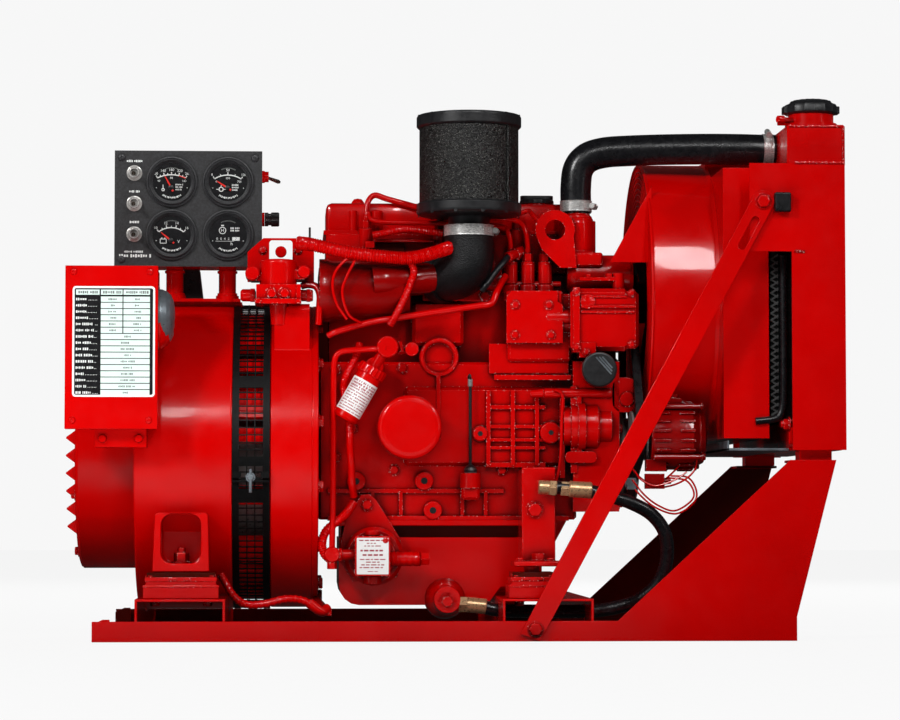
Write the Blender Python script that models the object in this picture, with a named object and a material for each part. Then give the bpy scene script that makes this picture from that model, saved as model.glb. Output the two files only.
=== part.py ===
"""Skid-mounted, radiator-cooled diesel generating set, about 0.92 x 0.50 x 0.64 m.

Lengths are in millimetres and become metres where a mesh is made. +X runs from the generator
to the radiator, -Y is the service side, +Z is up, and the origin is the middle of the base.
"""

import math

import bmesh
import bpy
from mathutils import Matrix, Vector

MM = 0.001
GAP = 0.3  # between two pieces that touch
FRONT, REAR = -1, 1  # the sign of Y on the service side and behind

# Skid
SIDE_Y = 240.0  # outer face of each side frame
SHEET = 3.0
RAIL_LEFT, RAIL_RIGHT, RAIL_TOP = -421.6, 393.8, 23.5
GUSSET_TOP = 210.0
CHANNEL_TOP = 49.0
ISOLATOR_Y = 190.0

# Rotating line
SHAFT_Z = 218.0
FAN_Z = 410.0
BELT_LOW_X, BELT_HIGH_X = 217.0, 227.0
CRANK_PULLEY_R, FAN_PULLEY_R, ALTERNATOR_PULLEY_R = 55.0, 49.0, 30.0
ALTERNATOR_Y, ALTERNATOR_Z = -130.0, 240.0

# Generator
BARREL_R = 187.0
BARREL_LEFT, BARREL_RIGHT = -378.0, -263.0
BAND_RIGHT = -218.5
HOUSING_RIGHT = -161.3
BELL_LEFT, BELL_R = -446.0, 137.0
STATOR_BORE_R = 100.0

# Control panel
PANEL_X, PANEL_Z, PANEL_FACE_Y = -318.2, 515.0, -92.0
PANEL_WIDE, PANEL_HIGH, PANEL_DEEP = 177.5, 140.0, 70.0
GAUGE_R = 30.6
GAUGE_X = (-338.2, -270.4)
GAUGE_Z = (547.0, 483.0)
TOGGLE_X = -383.2
TOGGLE_Z = (557.6, 520.8, 483.8)
TOGGLE_DROP = math.radians(8)
SIDE_TOGGLE_DROP = math.radians(20)

# Engine
BLOCK_LEFT, BLOCK_RIGHT = -161.0, 150.0
PAN_TOP, HEAD_BASE, HEAD_TOP = 140.0, 440.0, 488.0
CRANKCASE_Y, CYLINDERS_Y = 100.0, 66.0
COVER_TOP = 527.0
AIR_Y = -122.0  # the air cleaner's middle
THERMOSTAT_Y = -79.0
DIPSTICK_X, DIPSTICK_Y = 21.0, -114.0

# Radiator
CORE_LEFT, CORE_RIGHT = 372.0, 428.0
TANK_LEFT, TANK_RIGHT, TANK_Y = 392.0, 461.0, 200.0
TANK_BASE, TANK_TOP = 558.0, 608.0
DRUM_R, DRUM_LEFT = 170.0, 234.0
SHROUD_LEFT, SHROUD_RIGHT = 315.0, 369.0
CAP_X, CAP_Y = 427.0, -160.0


# ---------------------------------------------------------------- shapes, in millimetres


def shape(points, faces):
    """A closed mesh with its faces pointing out."""
    made = bmesh.new()
    corners = [made.verts.new(point) for point in points]
    for face in faces:
        made.faces.new([corners[index] for index in face])
    bmesh.ops.recalc_face_normals(made, faces=made.faces)
    return made


def placed(axis, across, up, along):
    """The point with these two outline coordinates, at this place along the axis."""
    if axis == "X":
        return (along, across, up)
    if axis == "Y":
        return (across, along, up)
    return (across, up, along)


def plate(outline, axis, low, high):
    """An outline pushed along an axis, from low to high."""
    count = len(outline)
    points = [placed(axis, across, up, along) for along in (low, high) for across, up in outline]
    sides = [(i, (i + 1) % count, count + (i + 1) % count, count + i) for i in range(count)]
    return shape(points, sides + [tuple(range(count)), tuple(range(count, 2 * count))])


def block(low, high, chamfer=0.0, steps=1):
    """A box between two corners, with its edges taken off if a chamfer is given."""
    outline = [(low[0], low[1]), (high[0], low[1]), (high[0], high[1]), (low[0], high[1])]
    made = plate(outline, "Z", low[2], high[2])
    if chamfer:
        bmesh.ops.bevel(made, geom=made.edges, offset=chamfer, segments=steps, affect="EDGES", profile=0.5)
    return made


def turned(profile, axis, centre, steps=20):
    """A profile of (radius, place on the axis), turned. It ends on the axis, or it is a ring."""
    points, rings = [], []
    for radius, along in profile:
        ring = []
        for step in range(steps if radius else 1):
            angle = math.tau * step / steps
            across = centre[0] + radius * math.cos(angle)
            up = centre[1] + radius * math.sin(angle)
            ring.append(len(points))
            points.append(placed(axis, across, up, along))
        rings.append(ring)
    pairs = list(zip(rings, rings[1:]))
    if profile[0][0]:
        pairs.append((rings[-1], rings[0]))
    faces = []
    for one, other in pairs:
        for step in range(steps):
            after = (step + 1) % steps
            corners = (one[step % len(one)], one[after % len(one)])
            corners += (other[after % len(other)], other[step % len(other)])
            faces.append(list(dict.fromkeys(corners)))
    return shape(points, faces)


def rod(start, end, radius, end_radius=None, steps=12):
    """A cylinder or a cone between two points."""
    start, end = Vector(start), Vector(end)
    made = bmesh.new()
    bmesh.ops.create_cone(
        made,
        cap_ends=True,
        segments=steps,
        radius1=radius,
        radius2=radius if end_radius is None else end_radius,
        depth=(end - start).length,
    )
    turn = (end - start).to_track_quat("Z", "Y").to_matrix().to_4x4()
    bmesh.ops.transform(made, matrix=Matrix.Translation((start + end) / 2) @ turn, verts=made.verts)
    return made


def on_side(side, made):
    """The shape as drawn on the service side, or its mirror image behind."""
    if side == REAR:
        bmesh.ops.scale(made, vec=(1, -1, 1), verts=made.verts)
        bmesh.ops.reverse_faces(made, faces=made.faces)
    return made


def arc(centre, radius, start, end, steps):
    """Outline points along an arc, with its angles in degrees."""
    angles = [math.radians(start + (end - start) * step / steps) for step in range(steps + 1)]
    return [(centre[0] + radius * math.cos(a), centre[1] + radius * math.sin(a)) for a in angles]


def smooth_route(points, steps):
    """Points along a smooth curve through the points given."""
    knots = [Vector(point) for point in points]
    knots = [2 * knots[0] - knots[1], *knots, 2 * knots[-1] - knots[-2]]
    route = []
    for before, start, end, after in zip(knots, knots[1:], knots[2:], knots[3:]):
        for step in range(steps):
            t = step / steps
            bend = (end - before) * t + (2 * before - 5 * start + 4 * end - after) * t * t
            route.append(start + (bend + (3 * start - before - 3 * end + after) * t**3) / 2)
    return route + [knots[-2]]


# ---------------------------------------------------------------- objects


def look(name, colour, roughness, metallic=0.0):
    """A plain Principled material."""
    made = bpy.data.materials.new(name)
    made.use_nodes = True
    shader = made.node_tree.nodes["Principled BSDF"]
    shader.inputs["Base Color"].default_value = (*colour, 1)
    shader.inputs["Roughness"].default_value = roughness
    shader.inputs["Metallic"].default_value = metallic
    return made


def place(name, made, origin):
    """An object with its own origin at the point given."""
    to_metres = Matrix.Scale(MM, 4) @ Matrix.Translation(-Vector(origin))
    bmesh.ops.transform(made, matrix=to_metres, verts=made.verts)
    mesh = bpy.data.meshes.new(name)
    made.to_mesh(mesh)
    made.free()
    mesh.shade_smooth()
    mesh.set_sharp_from_angle(angle=math.radians(32))
    placed_object = bpy.data.objects.new(name, mesh)
    placed_object.location = Vector(origin) * MM
    bpy.context.collection.objects.link(placed_object)
    return placed_object


def solid(name, material, shapes, cuts=(), origin=(0, 0, 0)):
    """One node: the first shape, joined with the others and less every cut."""
    body = place(name, shapes[0], origin)
    body.data.materials.append(material)
    tools = [(made, "UNION") for made in shapes[1:]] + [(made, "DIFFERENCE") for made in cuts]
    for number, (made, operation) in enumerate(tools):
        helper = place(f"{name}_tool_{number}", made, origin)
        helper.hide_render = True
        helper.display_type = "WIRE"
        boolean = body.modifiers.new(helper.name, "BOOLEAN")
        boolean.operation = operation
        boolean.object = helper
    return body


def hose(name, material, points, radius, steps, sides=3):
    """A solid hose along a smooth route."""
    curve = bpy.data.curves.new(name, "CURVE")
    curve.dimensions = "3D"
    curve.bevel_depth = radius * MM
    curve.bevel_resolution = sides
    curve.use_fill_caps = True
    route = smooth_route(points, steps)
    spline = curve.splines.new("POLY")
    spline.points.add(len(route) - 1)
    for knot, point in zip(spline.points, route):
        knot.co = (*(point * MM), 1)
    curve.materials.append(material)
    bpy.context.collection.objects.link(bpy.data.objects.new(name, curve))


# ---------------------------------------------------------------- skid


def side_frame(name, side, red):
    """Rail and radiator gusset in one plate, with a flange inward under it and one on top."""
    outline = [
        (RAIL_LEFT, 0),
        (RAIL_RIGHT, 0),
        (RAIL_RIGHT, 28),
        (441, GUSSET_TOP),
        (387, GUSSET_TOP),
        (185, RAIL_TOP),
        (RAIL_LEFT, RAIL_TOP),
    ]
    web = plate(outline, "Y", -SIDE_Y, SHEET - SIDE_Y)
    foot = block((RAIL_LEFT, 1 - SIDE_Y, 0), (RAIL_RIGHT, -SIDE_Y + 50, SHEET))
    seat = block((388, 1 - SIDE_Y, GUSSET_TOP - SHEET), (440, -SIDE_Y + 50, GUSSET_TOP))
    fold = plate([(RAIL_LEFT, 1), (RAIL_LEFT, 20), (-410, 25.4), (-402, 25.4), (-402, 1)], "Y", -226, -224)
    solid(name, red, [on_side(side, made) for made in (web, foot, seat, fold)])


def cross_channel(name, left, right, red, cut):
    """An inverted U across the skid, standing on the flanges of both rails."""
    low, high = SHEET + GAP, CHANNEL_TOP
    inner_left, inner_right, inner_high = left + SHEET, right - SHEET, high - SHEET
    outline = [
        (left, low),
        (left, high),
        (right, high),
        (right, low),
        (inner_right, low),
        (inner_right, inner_high),
        (inner_left, inner_high),
        (inner_left, low),
    ]
    reach = SIDE_Y - SHEET - GAP
    solid(name, red, [plate(outline, "Y", -reach, reach)], [cut])


def isolator(name, side, left, right, stud_top, red):
    """A rubber block between two pressed plates, with a stud up to the foot that it carries."""
    base = CHANNEL_TOP + GAP
    outline = [(left, base), (right, base), (right, 64), (right - 3, 66), (right - 3, 74)]
    outline += [(left + 3, 74), (left + 3, 66), (left, 64)]
    body = plate(outline, "Y", -ISOLATOR_Y - 32, -ISOLATOR_Y + 32)
    middle = (left + right) / 2
    stud = rod((middle, -ISOLATOR_Y, 70), (middle, -ISOLATOR_Y, stud_top), 9)
    solid(name, red, [on_side(side, made) for made in (body, stud)])


def engine_bracket(red):
    """The front engine foot: a plate and two webs out from the block, on a bolted flange."""
    left, right, outer, inner = 77.6, 117.0, -186.0, -CRANKCASE_Y - GAP
    face = block((left, outer, 86), (right, outer + 6, 202), 1)
    flange = block((66, -218, 86), (128, -160, 92), 1)
    web = [(outer + 2, 88), (-113, 88), (-113, 142), (inner, 142), (inner, 200), (outer + 2, 200)]
    webs = [plate(web, "X", x, x + 5) for x in (left + 1, right - 6)]
    heel = block((left + 2, inner - 6, 142), (right - 2, inner, 199))
    solid("engine_bracket_front", red, [face, flange, *webs, heel])


def make_skid(red, painted_rubber):
    side_frame("side_frame_front", FRONT, red)
    side_frame("side_frame_rear", REAR, red)
    saddle = rod((-400, 0, SHAFT_Z), (-240, 0, SHAFT_Z), BARREL_R + 3, steps=40)
    cross_channel("generator_cross_channel", -373, -269, red, saddle)
    hose_hole = rod((40, -150, 32), (170, -150, 32), 11)
    cross_channel("engine_cross_channel", 51.6, 157.2, red, hose_hole)
    for word, side in (("front", FRONT), ("rear", REAR)):
        isolator(f"isolator_generator_{word}", side, -364, -277, 80 - GAP, painted_rubber)
        isolator(f"isolator_engine_{word}", side, 60, 117, 86 - GAP, painted_rubber)
    engine_bracket(red)


# ---------------------------------------------------------------- generator


def make_generator(red, black, steel):
    middle = (0, SHAFT_Z)
    barrel = turned(
        [
            (STATOR_BORE_R, BARREL_LEFT),
            (BARREL_R, BARREL_LEFT),
            (BARREL_R, BARREL_RIGHT),
            (STATOR_BORE_R, BARREL_RIGHT),
        ],
        "X",
        middle,
        40,
    )
    feet = [on_side(s, block((-354, -212, 80), (-288, -110, 145), 2)) for s in (FRONT, REAR)]
    pockets = [on_side(s, block((-346, -222, 88), (-296, -160, 137))) for s in (FRONT, REAR)]
    solid("generator_barrel", red, [barrel, *feet], pockets)

    band = turned(
        [
            (BARREL_R - 3, BARREL_RIGHT + GAP),
            (BARREL_R, BARREL_RIGHT + GAP),
            (BARREL_R, BAND_RIGHT - GAP),
            (BARREL_R - 3, BAND_RIGHT - GAP),
        ],
        "X",
        middle,
        40,
    )
    lug = block((-256, -194, 180), (-226, -181, 192), 1)
    solid("ventilation_band", black, [band, lug])

    housing = turned(
        [
            (150, BAND_RIGHT),
            (185, BAND_RIGHT),
            (185, HOUSING_RIGHT),
            (40, HOUSING_RIGHT),
            (40, HOUSING_RIGHT - 8),
            (150, HOUSING_RIGHT - 8),
        ],
        "X",
        middle,
        40,
    )
    boss = block((-214, -138, 336), (-172, -100, 398 - GAP), 3)
    solid("flywheel_housing", red, [housing, boss])

    bell = turned(
        [
            (0, BELL_LEFT),
            (BELL_R - 5, BELL_LEFT),
            (BELL_R, BELL_LEFT + 6),
            (BELL_R, BARREL_LEFT - GAP),
            (BELL_R - 5, BARREL_LEFT - GAP),
            (BELL_R - 5, BELL_LEFT + 10),
            (34, BELL_LEFT + 10),
            (34, -422),
            (18.8, -422),
            (18.8, -442),
            (0, -442),
        ],
        "X",
        middle,
        32,
    )
    pitch, teeth, depth = 21.0, 9, 15.0
    lowest = SHAFT_Z - pitch * teeth / 2
    outline = [(BELL_LEFT + 2, lowest)]
    for tooth in range(teeth):
        low = lowest + pitch * tooth
        outline += [(BELL_LEFT - 2, low), (BELL_LEFT - depth, low + 5), (BELL_LEFT - 2, low + pitch - 1)]
    outline += [(BELL_LEFT + 2, lowest + pitch * teeth)]
    solid("generator_end_bell", red, [bell, plate(outline, "Y", -60, 60)])

    rotor = turned(
        [
            (0, -441),
            (18.3, -441),
            (18.3, -373),
            (STATOR_BORE_R - 1.5, -373),
            (STATOR_BORE_R - 1.5, -268),
            (40, -268),
            (40, -256),
            (142, -256),
            (142, -226),
            (40, -226),
            (40, BAND_RIGHT + 6 - GAP),
            (0, BAND_RIGHT + 6 - GAP),
        ],
        "X",
        middle,
    )
    solid("generator_rotor", steel, [rotor], origin=(0, 0, SHAFT_Z))


def make_terminal_box(red):
    left, right, low, high = -452.6, -349.7, 247.0, 432.0
    front, back, wall = -232.8, -188.0, 2.0
    shell = block((left, front, low), (right, back, high))
    hollow = block((left + wall, front - 5, low + wall), (right - wall, back - wall, high - wall))
    deep_back, deep_low = -150.0, 334.0
    deep = block((left, back - 3, deep_low), (right, deep_back, high))
    deep_hollow = block((left + wall, back - 10, deep_low + wall),
                        (right - wall, deep_back - wall, high - wall))
    foot = block((-421, -216, 224), (-361, -BARREL_R - GAP, low + 1), 1)
    dome = turned([(0, right - 1), (33, right - 1), (33, right + 4), (26, right + 13), (12, right + 19),
                   (0, right + 20)], "X", (back + 1, 372), 24)
    solid("terminal_box", red, [shell, deep, foot, dome], [hollow, deep_hollow])

    rim = 1.5
    cover = block((left - rim - 0.5, -235, low - rim - 0.5), (right + rim + 0.5, -221, high + rim + 0.5))
    inside = block((left - 0.5, front - GAP, low - 0.5), (right + 0.5, -210, high + 0.5))
    solid("terminal_box_cover", red, [cover], [inside])


# ---------------------------------------------------------------- control panel


def gauge(name, x, z, black):
    """A can through the panel with a raised bezel round a sunk dial."""
    face = PANEL_FACE_Y - GAP
    profile = [
        (0, face - 1.2),
        (26.5, face - 1.2),
        (27, face - 5),
        (29, face - 5.5),
        (GAUGE_R, face - 3),
        (GAUGE_R, face),
        (26, face),
        (26, face + 40),
        (0, face + 40),
    ]
    solid(name, black, [turned(profile, "Y", (x, z))])


def needle(name, x, z, lean, red):
    """A pointer with a short tail, turning about the dial's low centre."""
    pivot = (x - 0.8, PANEL_FACE_Y - 2.2, z - 7)
    outline = [(-1.2, -5), (1.2, -5), (0.9, 8), (0.4, 15.5), (-0.4, 15.5), (-0.9, 8)]
    turn = math.radians(lean)
    tilted = [
        (pivot[0] + a * math.cos(turn) - b * math.sin(turn), pivot[2] + a * math.sin(turn) + b * math.cos(turn))
        for a, b in outline
    ]
    pointer = plate(tilted, "Y", pivot[1] - 0.8, pivot[1])
    hub = turned([(0, pivot[1] - 1.6), (2.4, pivot[1] - 1.6), (2.4, pivot[1] - 0.1), (0, pivot[1] - 0.1)],
                 "Y", (pivot[0], pivot[2]), 12)
    solid(name, red, [pointer, hub], origin=pivot)


def bat_lever(name, pivot, direction, chrome):
    """A toggle's lever, thicker towards its rounded tip."""
    direction = Vector(direction).normalized()
    pivot = Vector(pivot)
    shank = rod(pivot - direction * 2, pivot + direction * 17, 1.5, 2.6, 10)
    tip = rod(pivot + direction * 16.9, pivot + direction * 19.5, 2.6, 1.2, 10)
    solid(name, chrome, [shank, tip], origin=pivot)


def make_panel(red, black, chrome, pointer_red):
    left, right = PANEL_X - PANEL_WIDE / 2, PANEL_X + PANEL_WIDE / 2
    low, high = PANEL_Z - PANEL_HIGH / 2, PANEL_Z + PANEL_HIGH / 2
    face_back = PANEL_FACE_Y + 2
    back = face_back + PANEL_DEEP
    wall = 2.0

    shell = block((left + 1, face_back + GAP, low + 1), (right - 1, back, high - 1))
    hollow = block((left + 1 + wall, face_back - 5, low + 1 + wall),
                   (right - 1 - wall, back - wall, high - 1 - wall))
    posts = [rod((x, -42, 405.2), (x, -42, low + 2), 10.5) for x in (-336, -272)]
    rings = [rod((x, -42, 405.2), (x, -42, 413), 14) for x in (-336, -272)]
    pad = block((-352, -54, 405.3), (-256, -30, 409))
    side_pivot = (right + 3.5, -58, 557.6)
    bushing = rod((right - 2, -58, 557.6), (right + 7.5, -58, 557.6), 6.5)
    bushing_bore = rod((right + 1, -58, 557.6), (right + 12, -58, 557.6), 4.4)
    holder = rod((right - 2, -58, 505.6), (right + 2.5, -58, 505.6), 8.5)
    solid("panel_box", red, [shell, *posts, *rings, pad, bushing, holder], [hollow, bushing_bore])

    face = block((left, PANEL_FACE_Y, low), (right, face_back, high))
    bushings = [rod((TOGGLE_X, face_back - 1, z), (TOGGLE_X, PANEL_FACE_Y - 8, z), 6.5) for z in TOGGLE_Z]
    bores = [rod((TOGGLE_X, PANEL_FACE_Y - 1, z), (TOGGLE_X, PANEL_FACE_Y - 12, z), 4.4) for z in TOGGLE_Z]
    holes = [rod((x, -120, z), (x, -60, z), 26.4, steps=24) for x in GAUGE_X for z in GAUGE_Z]
    solid("panel_face", black, [face, *bushings], [*bores, *holes])

    gauge("gauge_water_temperature", GAUGE_X[0], GAUGE_Z[0], black)
    gauge("gauge_oil_pressure", GAUGE_X[1], GAUGE_Z[0], black)
    gauge("gauge_volts", GAUGE_X[0], GAUGE_Z[1], black)
    gauge("gauge_engine_hours", GAUGE_X[1], GAUGE_Z[1], black)
    needle("needle_water_temperature", GAUGE_X[0], GAUGE_Z[0], 28, pointer_red)
    needle("needle_oil_pressure", GAUGE_X[1], GAUGE_Z[0], 57, pointer_red)
    needle("needle_volts", GAUGE_X[0], GAUGE_Z[1], 50, pointer_red)

    forward = (0, -math.cos(TOGGLE_DROP), -math.sin(TOGGLE_DROP))
    for word, z in zip(("preheat", "start", "stop"), TOGGLE_Z):
        bat_lever(f"toggle_{word}", (TOGGLE_X, PANEL_FACE_Y - 4, z), forward, chrome)
    sideways = (math.cos(SIDE_TOGGLE_DROP), 0, -math.sin(SIDE_TOGGLE_DROP))
    bat_lever("toggle_panel_side", side_pivot, sideways, chrome)

    start = right + 2.5 + GAP
    cap = turned([(0, start), (8.2, start), (8.2, start + 4), (7.4, start + 5), (7.4, start + 8),
                  (8.5, start + 9), (8.5, start + 17), (7.5, start + 18), (0, start + 18)],
                  "X", (-58, 505.6), 20)
    solid("fuse_cap", black, [cap], origin=(start, -58, 505.6))


# ---------------------------------------------------------------- engine


def make_engine_core(red, steel):
    crankcase = block((BLOCK_LEFT, -CRANKCASE_Y, PAN_TOP + GAP), (BLOCK_RIGHT, CRANKCASE_Y, 330), 3)
    cylinders = block((-150, -CYLINDERS_Y, 320), (BLOCK_RIGHT, CYLINDERS_Y, HEAD_BASE - GAP), 2)
    gear_outline = [(-118, 150), (118, 150), (122, 180), (122, 340), (90, 395), (-84, 395), (-84, 336)]
    gear_outline += [(-122, 330), (-122, 180)]
    gear_case = plate(gear_outline, "X", 144, 200)
    water_pump = rod((146.5, 0, FAN_Z), (203, 0, FAN_Z), 34, steps=24)
    filler_neck = rod((172.7, -120, 319), (172.7, -138, 319), 15)
    dipstick_boss = block((DIPSTICK_X - 11, DIPSTICK_Y - 7, 164), (DIPSTICK_X + 11, -95, 190), 3)
    dipstick_seat = rod((DIPSTICK_X, DIPSTICK_Y, 178), (DIPSTICK_X, DIPSTICK_Y, 196), 12.5, steps=20)
    rear_foot = block((66, 114, 86), (113, 214, 98), 1)
    rear_web = plate([(114, 90), (200, 90), (200, 100), (122, 200), (94, 200), (94, 146), (114, 143)],
                     "X", 80, 98)
    rear_plate = block((72, 94, 146), (107, 112, 200))
    oil_gallery = block((-58, -105, 205), (132, -95, 300), 4)
    cam_cover = block((-48, -96, 350), (14, -60, 404), 4)
    cuts = [
        rod((BLOCK_LEFT - 5, 0, SHAFT_Z), (205, 0, SHAFT_Z), 31, steps=24),
        rod((DIPSTICK_X, DIPSTICK_Y, 166.5), (DIPSTICK_X, DIPSTICK_Y, 205), 3.4, steps=12),
    ]
    shapes = [crankcase, cylinders, gear_case, water_pump, filler_neck, rear_foot, rear_web]
    shapes += [dipstick_boss, dipstick_seat]
    shapes += [rear_plate, oil_gallery, cam_cover]
    solid("engine_block", red, shapes, cuts)

    crankshaft = turned(
        [
            (0, BAND_RIGHT + 6),
            (145, BAND_RIGHT + 6),
            (145, -172),
            (30, -172),
            (30, 206),
            (CRANK_PULLEY_R, 206),
            (CRANK_PULLEY_R, BELT_LOW_X - 2.5),
            (CRANK_PULLEY_R - 7, BELT_LOW_X - 1),
            (CRANK_PULLEY_R - 7, BELT_HIGH_X + 1),
            (CRANK_PULLEY_R, BELT_HIGH_X + 2.5),
            (CRANK_PULLEY_R, 232),
            (16, 232),
            (16, 238),
            (0, 238),
        ],
        "X",
        (0, SHAFT_Z),
        24,
    )
    solid("crankshaft", steel, [crankshaft], origin=(0, 0, SHAFT_Z))


def make_engine_top(red, black, rubber):
    head = block((-152, -75, HEAD_BASE), (146, 75, HEAD_TOP), 2)
    outlet_flange = block((132, -106, 446), (182, THERMOSTAT_Y + 22, 463), 2)
    outlet = turned([(0, 455), (21, 455), (21, 505), (17, 511), (17, 512 - GAP), (0, 512 - GAP)],
                    "Z", (152, THERMOSTAT_Y), 20)
    outlet_shoulder = rod((163, THERMOSTAT_Y, 455), (163, THERMOSTAT_Y, 503), 13)
    centre = (124, 490)
    eye_outline = arc(centre, 24, -20, 200, 12) + [(108, 466), (130, 444), (150, 444)]
    eye = plate(eye_outline, "Y", -109, -102)
    eye_hole = rod((centre[0], -120, centre[1]), (centre[0], -90, centre[1]), 12.2, steps=20)
    solid("cylinder_head", red, [head, outlet_flange, outlet, outlet_shoulder, eye], [eye_hole])

    cover = block((-152, -55, HEAD_TOP + GAP), (146, 55, COVER_TOP), 7, 2)
    solid("rocker_cover", red, [cover, rod((108.8, -20, 520), (108.8, -20, 529), 17)])
    cap = turned([(0, 529 + GAP), (21.5, 529 + GAP), (21.5, 534), (18, 536), (0, 536)], "Z", (108.8, -20), 20)
    grip = block((104, -38, 535), (113.6, -2, 540), 1)
    solid("top_filler_cap", black, [cap, grip], origin=(108.8, -20, 529))

    knots = [(19, AIR_Y, 492), (19, AIR_Y, 482), (19, AIR_Y, 462), (19, AIR_Y + 5, 443),
             (19, AIR_Y + 20, 432), (19, -84, 431), (19, -75 - GAP, 431)]
    hose("intake_elbow", rubber, knots, 27, 3)

    low, high = 503.5, 625.6
    body = turned([(0, 492 + GAP), (25, 492 + GAP), (25, low), (61, low), (63, low + 3), (63, low + 13),
                   (60.5, low + 15), (60.5, high - 16), (63, high - 14), (63, high - 3), (61, high),
                   (0, high)], "Z", (19, AIR_Y), 28)
    solid("air_cleaner", black, [body])


def make_engine_base(red, steel):
    flange = block((-138, -110, PAN_TOP - 7), (112, 110, PAN_TOP), 1)
    tub_outline = [(-136, 119), *arc((-112, 62), 24, 180, 270, 4), *arc((36, 50), 12, 270, 330, 2)]
    tub_outline += [(58, 60), (108, 60), (108, 119)]
    tub = plate(tub_outline, "Y", -100, 100)
    neck = block((-134, -88, 112), (106, 88, PAN_TOP - 3))
    drain_boss = rod((-9, -98, 46), (-9, -166, 46), 15.5, steps=16)
    outlet = rod((-9, -150, 40), (7 - GAP, -150, 40), 8.5)
    solid("oil_pan", red, [flange, tub, neck, drain_boss, outlet])

    filter_can = turned([(0, -CRANKCASE_Y - 16.3 - GAP), (30, -CRANKCASE_Y - 16.3 - GAP), (37.7, -124),
                         (37.7, -184), (33, -190), (0, -190)], "Y", (-54.3, 249), 28)
    solid("oil_filter", red, [filter_can])

    can = rod((-131, -150, 259), (-93, -150, 325), 15.5, steps=20)
    collar = rod((-101, -150, 311), (-89, -150, 332), 17.5, steps=20)
    arm = rod((-95, -155, 322), (-95, -CRANKCASE_Y - GAP, 322), 11)
    solid("fuel_filter", red, [can, collar, arm])

    lug = [(-138, 96), (-106, 168), (-96, 168), (-62, 112), (-70, 70), (-120, 70)]
    bracket = plate(lug, "Y", -115, -110 - GAP)
    pump = turned([(0, -114), (31, -114), (31, -158), (26, -164), (0, -164)], "Y", (-95, 98), 24)
    outlet = rod((-70, -140, 96), (-44, -140, 96), 11)
    outlet_tip = rod((-46, -140, 96), (-30, -140, 96), 7, steps=12)
    inlet = rod((-120, -140, 98), (-146, -140, 98), 8, steps=12)
    solid("lift_pump", red, [bracket, pump, outlet, outlet_tip, inlet])

    x, y = DIPSTICK_X, DIPSTICK_Y
    stick = rod((x, y, 169), (x, y, 306), 1.8, steps=8)
    seat = turned([(0, 196 + GAP), (7.5, 196 + GAP), (7.5, 201), (3, 205), (0, 205)], "Z", (x, y), 16)
    pull = rod((x, y, 300), (x, y, 309), 3, steps=8)
    solid("dipstick", steel, [stick, seat, pull], origin=(x, y, 196))


def make_engine_sides(red, black, steel):
    pump_plate = block((64, -122, 352), (132, -112, 415), 2)
    pump_body = block((66, -114, 330 + GAP), (143, -CYLINDERS_Y - GAP, 412), 3)
    governor = block((140, -140, 342), (210, -CYLINDERS_Y - 26, 417), 5)
    governor_tail = block((200, -140, 345), (222, -106, 414), 4)
    deliveries = [rod((x, -92, 405), (x, -92, 452), 8.5, steps=10) for x in (71, 92, 113)]
    nuts = [rod((x, -92, 444), (x, -92, 462), 6, steps=6) for x in (71, 92, 113)]
    link = rod((120, -104, 380), (150, -104, 380), 18)
    shapes = [pump_body, pump_plate, governor, governor_tail, link, *deliveries, *nuts]
    solid("injection_pump", red, shapes)

    pivot = (198.7, -124, 417)
    boss = rod((pivot[0], pivot[1], pivot[2] + GAP), (pivot[0], pivot[1], 436), 7.5)
    bar = plate([(152, -128), (198, -131), (198, -117), (152, -121)], "Z", 427, 431)
    solid("speed_lever", red, [boss, bar], origin=pivot)

    cap = turned([(0, -138 - GAP), (17, -138 - GAP), (17, -150), (20.8, -150.5), (20.8, -157), (19, -158.5),
                  (0, -158.5)], "Y", (172.7, 319), 28)
    solid("side_filler_cap", black, [cap], origin=(172.7, -138, 319))

    starter = turned([(0, -160.5), (38, -160.5), (38, -150), (36, -146), (36, -62), (30, -52), (0, -52)],
                     "X", (-111, 415), 24)
    solid("starter_motor", red, [starter])

    manifold = block((-130, 75 + GAP, 446), (100, 112, 480), 6)
    riser = rod((-20, 104, 463), (-20, 140, 463), 22, steps=20)
    flange = block((-52, 138, 436), (12, 148, 490), 3)
    solid("exhaust_manifold", steel, [manifold, riser, flange])

    case = turned([(0, 234), (38, 234), (40, 238), (40, 284), (34, 292), (0, 292)], "X",
                  (ALTERNATOR_Y, ALTERNATOR_Z), 24)
    solid("charging_alternator", red, [case])

    bracket_plate = plate([(-246.5, 425), (-166.7, 425), (-166.7, 478), (-227.5, 478), (-246.5, 461)],
                          "Y", -112, -109)
    window = block((-220.5, -120, 451), (-192.7, -100, 475.5))
    can = rod((-209.5, -132, 408), (-209.5, -132, 450), 22, steps=24)
    base = block((-235.5, -158, 398), (-182.7, -100, 419.3), 2)
    tongue = block((-229, -116, 410), (-190, -100, 430))
    ports = [rod((-256, -132, 411), (-234, -132, 411), 7.5, steps=12),
             rod((-184, -132, 411), (-163, -132, 411), 7.5, steps=12)]
    solid("fuel_solenoid", red, [base, can, tongue, bracket_plate, *ports], [window])


# ---------------------------------------------------------------- cooling


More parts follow.
